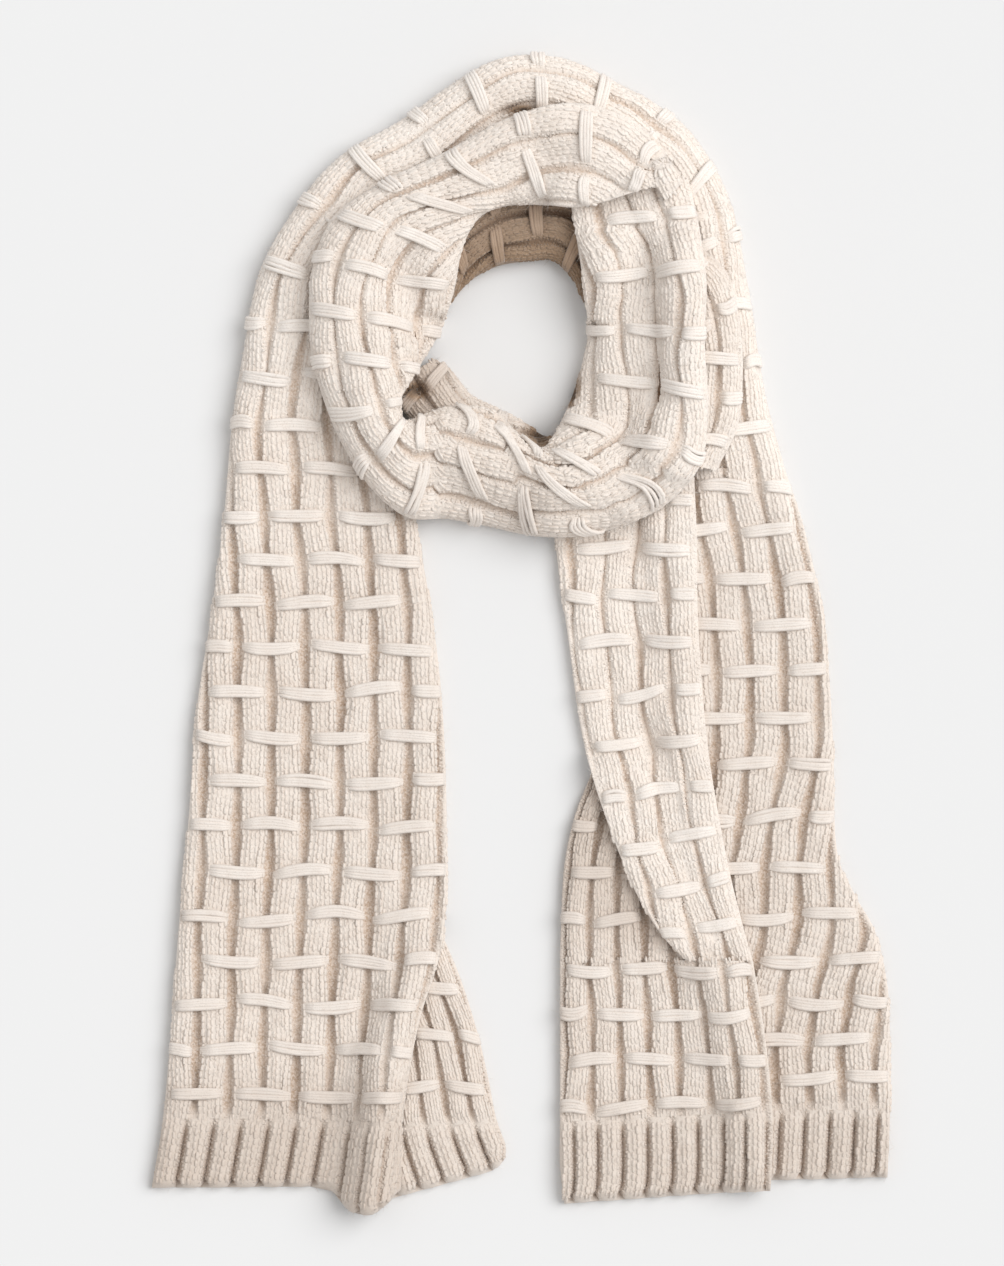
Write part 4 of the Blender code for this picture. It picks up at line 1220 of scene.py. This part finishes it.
def add_floats(cloth):
    """The float bundles of one stretch."""
    strands = []
    t = np.linspace(-1, 1, FLOAT_STATIONS)
    loose = LOOSE.get(cloth.name, 1.0)
    ends = cloth.row(np.array([cloth.start, cloth.end]))
    for row in range(math.ceil(ends[0]), math.floor(ends[1]) + 1):
        run = np.interp(row, cloth.strand.numbers, cloth.strand.marks)
        edges = [np.interp(run, cloth.runs, side) for side in (cloth.first, cloth.last)]
        first = math.ceil((edges[0] - 1 - row) / 2) * 2 + row
        for tied in range(first, math.ceil(edges[1]) + 1, 2):
            low = max(tied - FLOAT_HALF, edges[0] + FLOAT_EDGE)
            high = min(tied + FLOAT_HALF, edges[1] - FLOAT_EDGE)
            if high - low < FLOAT_LEAST:
                continue
            shift, tilt, bow = float_dice.normal(0, STRAY) * (0.5 + 0.5 * loose, loose, loose)
            tone = float_dice.uniform(-TONE_RANGE, TONE_RANGE)
            for n in range(FLOAT_STRANDS):
                aside = (n - (FLOAT_STRANDS - 1) / 2) * STRAND_STEP
                aside = (aside + float_dice.normal(0, STRAND_STRAY)) * (1 - NARROW * t**4)
                slack = float_dice.normal(0, SLACK[0] + SLACK[1] * loose)
                slack = slack * np.sin(2.2 * t + float_dice.uniform(0, 6))
                rib = low + (high - low) * (t + 1) / 2
                where = run + shift + tilt * t + bow * (1 - t * t) + aside + slack
                up = FLOAT_LIFT - (FLOAT_LIFT + FLOAT_DIVE) * np.abs(t) ** 9
                height = cloth.relief(rib, where)[0]
                point = cloth.at(rib, where)[0]
                normal = cloth.at(rib, where, 1.0)[0] - point
                edge = np.minimum(rib - edges[0], edges[1] - rib)
                point = point + normal * (up - height * smooth_step(edge / EDGE_FADE))[:, None]
                girth = float_dice.normal(0, GIRTH_UNEVEN, len(t))
                girth = 1 - NARROW * np.abs(t) ** 6 + girth
                if uncovered(cloth, point)[2:-2].any():
                    strands.append((point, tone + 0 * t, cloth.shade(point, rib, where), girth))
    if not strands:
        return None
    points, tone, shade, girth = [np.concatenate(part) for part in zip(*strands)]
    edges = [(k, k + 1) for k in range(len(points) - 1) if (k + 1) % FLOAT_STATIONS]
    mesh = bpy.data.meshes.new(cloth.name + "_lines")
    mesh.from_pydata((points * MM).tolist(), edges, [])
    # Painted shade: the floats take the shade of their place.
    store(mesh, tone=tone, shade=shade, girth=girth)
    numbers = {"Radius": YARN_RADIUS * MM}
    return grown("floats_" + cloth.name, mesh, float_tree, numbers, float_wool)


for cloth in laid.values():
    piece = None if cloth.is_hem else add_floats(cloth)
    if piece:
        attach(piece, "root")
        cloth.trim.append(piece)


# ---------------------------------------------------------------------------------------
# The brushed pile.  Loose fibres that brushing has pulled out of the yarn: they lie over
# the ribs in all directions and give every edge a soft outline.

PILE_PER_M2 = 110000
FIBRE_LONG = 6.0  # millimetres
FIBRE_RADIUS = 0.09
FIBRE_TILT = (1.2, 1.55)  # radians from upright
FIBRE_SCALE = (0.5, 1.4)  # of the shortest and the longest fibre
PILE_FROM = 6.0  # millimetres of height: the lowest layer's edges have no pile

pile_wool = brushed_wool(
    "brushed_fibres", FLOAT_LIT, FLOAT_SHADED, fleck_share=0.2, bump_mm=0.1
)


def pile_tree(name):
    """Scatters thin closed cones over the part of a mesh that its points' share names."""
    tree, given = new_tree(name, ("Per square metre", "Length", "Radius"))
    seen = add(tree, "GeometryNodeInputNamedAttribute", {"Name": "seen"}, data_type="FLOAT")
    density = {0: seen.outputs[0], 1: given["Per square metre"]}
    density = add(tree, "ShaderNodeMath", density, operation="MULTIPLY").outputs[0]
    roots = add(
        tree,
        "GeometryNodeDistributePointsOnFaces",
        {"Mesh": given["Geometry"], "Density": density, "Seed": 4},
    )
    cone = {"Vertices": 3, "Radius Top": 0.0, "Radius Bottom": given["Radius"]}
    fibre = add(tree, "GeometryNodeMeshCone", {**cone, "Depth": given["Length"]})
    tilt, turn, scale = [
        add(
            tree,
            "FunctionNodeRandomValue",
            {"Min": low, "Max": high, "Seed": seed},
            data_type="FLOAT",
        ).outputs[1]
        for low, high, seed in ((*FIBRE_TILT, 1), (0.0, 2 * math.pi, 2), (*FIBRE_SCALE, 3))
    ]
    lean = add(tree, "FunctionNodeEulerToRotation", {0: (tilt, 0.0, turn)})
    facing = add(
        tree,
        "FunctionNodeRotateRotation",
        {"Rotation": roots.outputs["Rotation"], "Rotate By": lean.outputs[0]},
        rotation_space="LOCAL",
    )
    pile = add(
        tree,
        "GeometryNodeInstanceOnPoints",
        {
            "Points": roots.outputs["Points"],
            "Instance": fibre.outputs["Mesh"],
            "Rotation": facing.outputs[0],
            "Scale": (1.0, 1.0, scale),
        },
    )
    return close_tree(tree, pile.outputs[0], given["Material"])


brushed_pile = pile_tree("brushed_pile")
for cloth in laid.values():
    surface = cloth.surface()[0]
    seen = uncovered(cloth, surface.reshape(-1, 3)) & (surface[..., 2].ravel() > PILE_FROM)
    # The copy keeps the cloth's painted shade, which the pile takes.
    mesh = cloth.piece.data.copy()
    share = np.zeros(len(mesh.vertices))
    place = np.arange(len(cloth.runs))[:, None] * cloth.ring + np.arange(len(cloth.columns))
    share[place.ravel()] = seen
    store(mesh, seen=share)
    numbers = {
        "Per square metre": PILE_PER_M2,
        "Length": FIBRE_LONG * MM,
        "Radius": FIBRE_RADIUS * MM,
    }
    pile = grown("pile_" + cloth.name, mesh, brushed_pile, numbers, pile_wool)
    # A fibre that points down ends on the table.
    places = np.empty(3 * len(pile.data.vertices), np.float32)
    pile.data.vertices.foreach_get("co", places)
    places[2::3] = np.maximum(places[2::3], 0.0)
    pile.data.vertices.foreach_set("co", places)
    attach(pile, "root")
    cloth.trim.append(pile)


# ---------------------------------------------------------------------------------------
# The surface it lies on, the camera and the light.  A plain pale table, seen from straight
# above through a long lens, in wide soft light that falls from the right.

FLOOR = "#E4E4E4"
PHOTO_CENTRE = (-12.5, 1.1)  # millimetres, the middle of the picture
PHOTO_TALL = 721.6  # millimetres from the picture's top edge to its bottom edge
EYE_HEIGHT = 5.0  # metres
SENSOR = 24.0
FLOOR_HALF = 4.0
FLOOR_BELOW = 0.0002  # metres under the scarf, so that their faces don't meet
ROOM_LIGHT = 0.63
WINDOW_POWER = 2.02
WINDOW_ANGLE = 46.0  # degrees across
WINDOW_TILT = 38.0  # degrees from upright
WINDOW_TURN = 24.0

mesh = bpy.data.meshes.new("floor")
corners = [(x * FLOOR_HALF, y * FLOOR_HALF) for x, y in ((-1, -1), (1, -1), (1, 1), (-1, 1))]
mesh.from_pydata([(x, y, -FLOOR_BELOW) for x, y in corners], [], [(0, 1, 2, 3)])
paint = bpy.data.materials.new("matt_table_paint")
paint.use_nodes = True
matt = paint.node_tree.nodes["Principled BSDF"].inputs
matt["Base Color"].default_value = linear(FLOOR)
matt["Roughness"].default_value = 1.0
matt["Specular IOR Level"].default_value = 0.0
mesh.materials.append(paint)
floor = bpy.data.objects.new("floor", mesh)
bpy.context.scene.collection.objects.link(floor)

lens = bpy.data.cameras.new("eye")
lens.sensor_fit = "VERTICAL"
lens.sensor_height = SENSOR
lens.lens = SENSOR * EYE_HEIGHT / (PHOTO_TALL * MM)
lens.clip_end = 20.0
eye = bpy.data.objects.new("eye", lens)
eye.location = (PHOTO_CENTRE[0] * MM, PHOTO_CENTRE[1] * MM, EYE_HEIGHT)
bpy.context.scene.collection.objects.link(eye)
bpy.context.scene.camera = eye

world = bpy.data.worlds.new("studio")
world.use_nodes = True
world.node_tree.nodes["Background"].inputs["Color"].default_value = linear("#FFFFFF")
world.node_tree.nodes["Background"].inputs["Strength"].default_value = ROOM_LIGHT
bpy.context.scene.world = world
window = bpy.data.lights.new("window", "SUN")
window.energy = WINDOW_POWER
window.angle = math.radians(WINDOW_ANGLE)
light = bpy.data.objects.new("window", window)
light.rotation_euler = (0.0, math.radians(WINDOW_TILT), math.radians(WINDOW_TURN))
bpy.context.scene.collection.objects.link(light)
bpy.context.scene.view_settings.view_transform = "Standard"
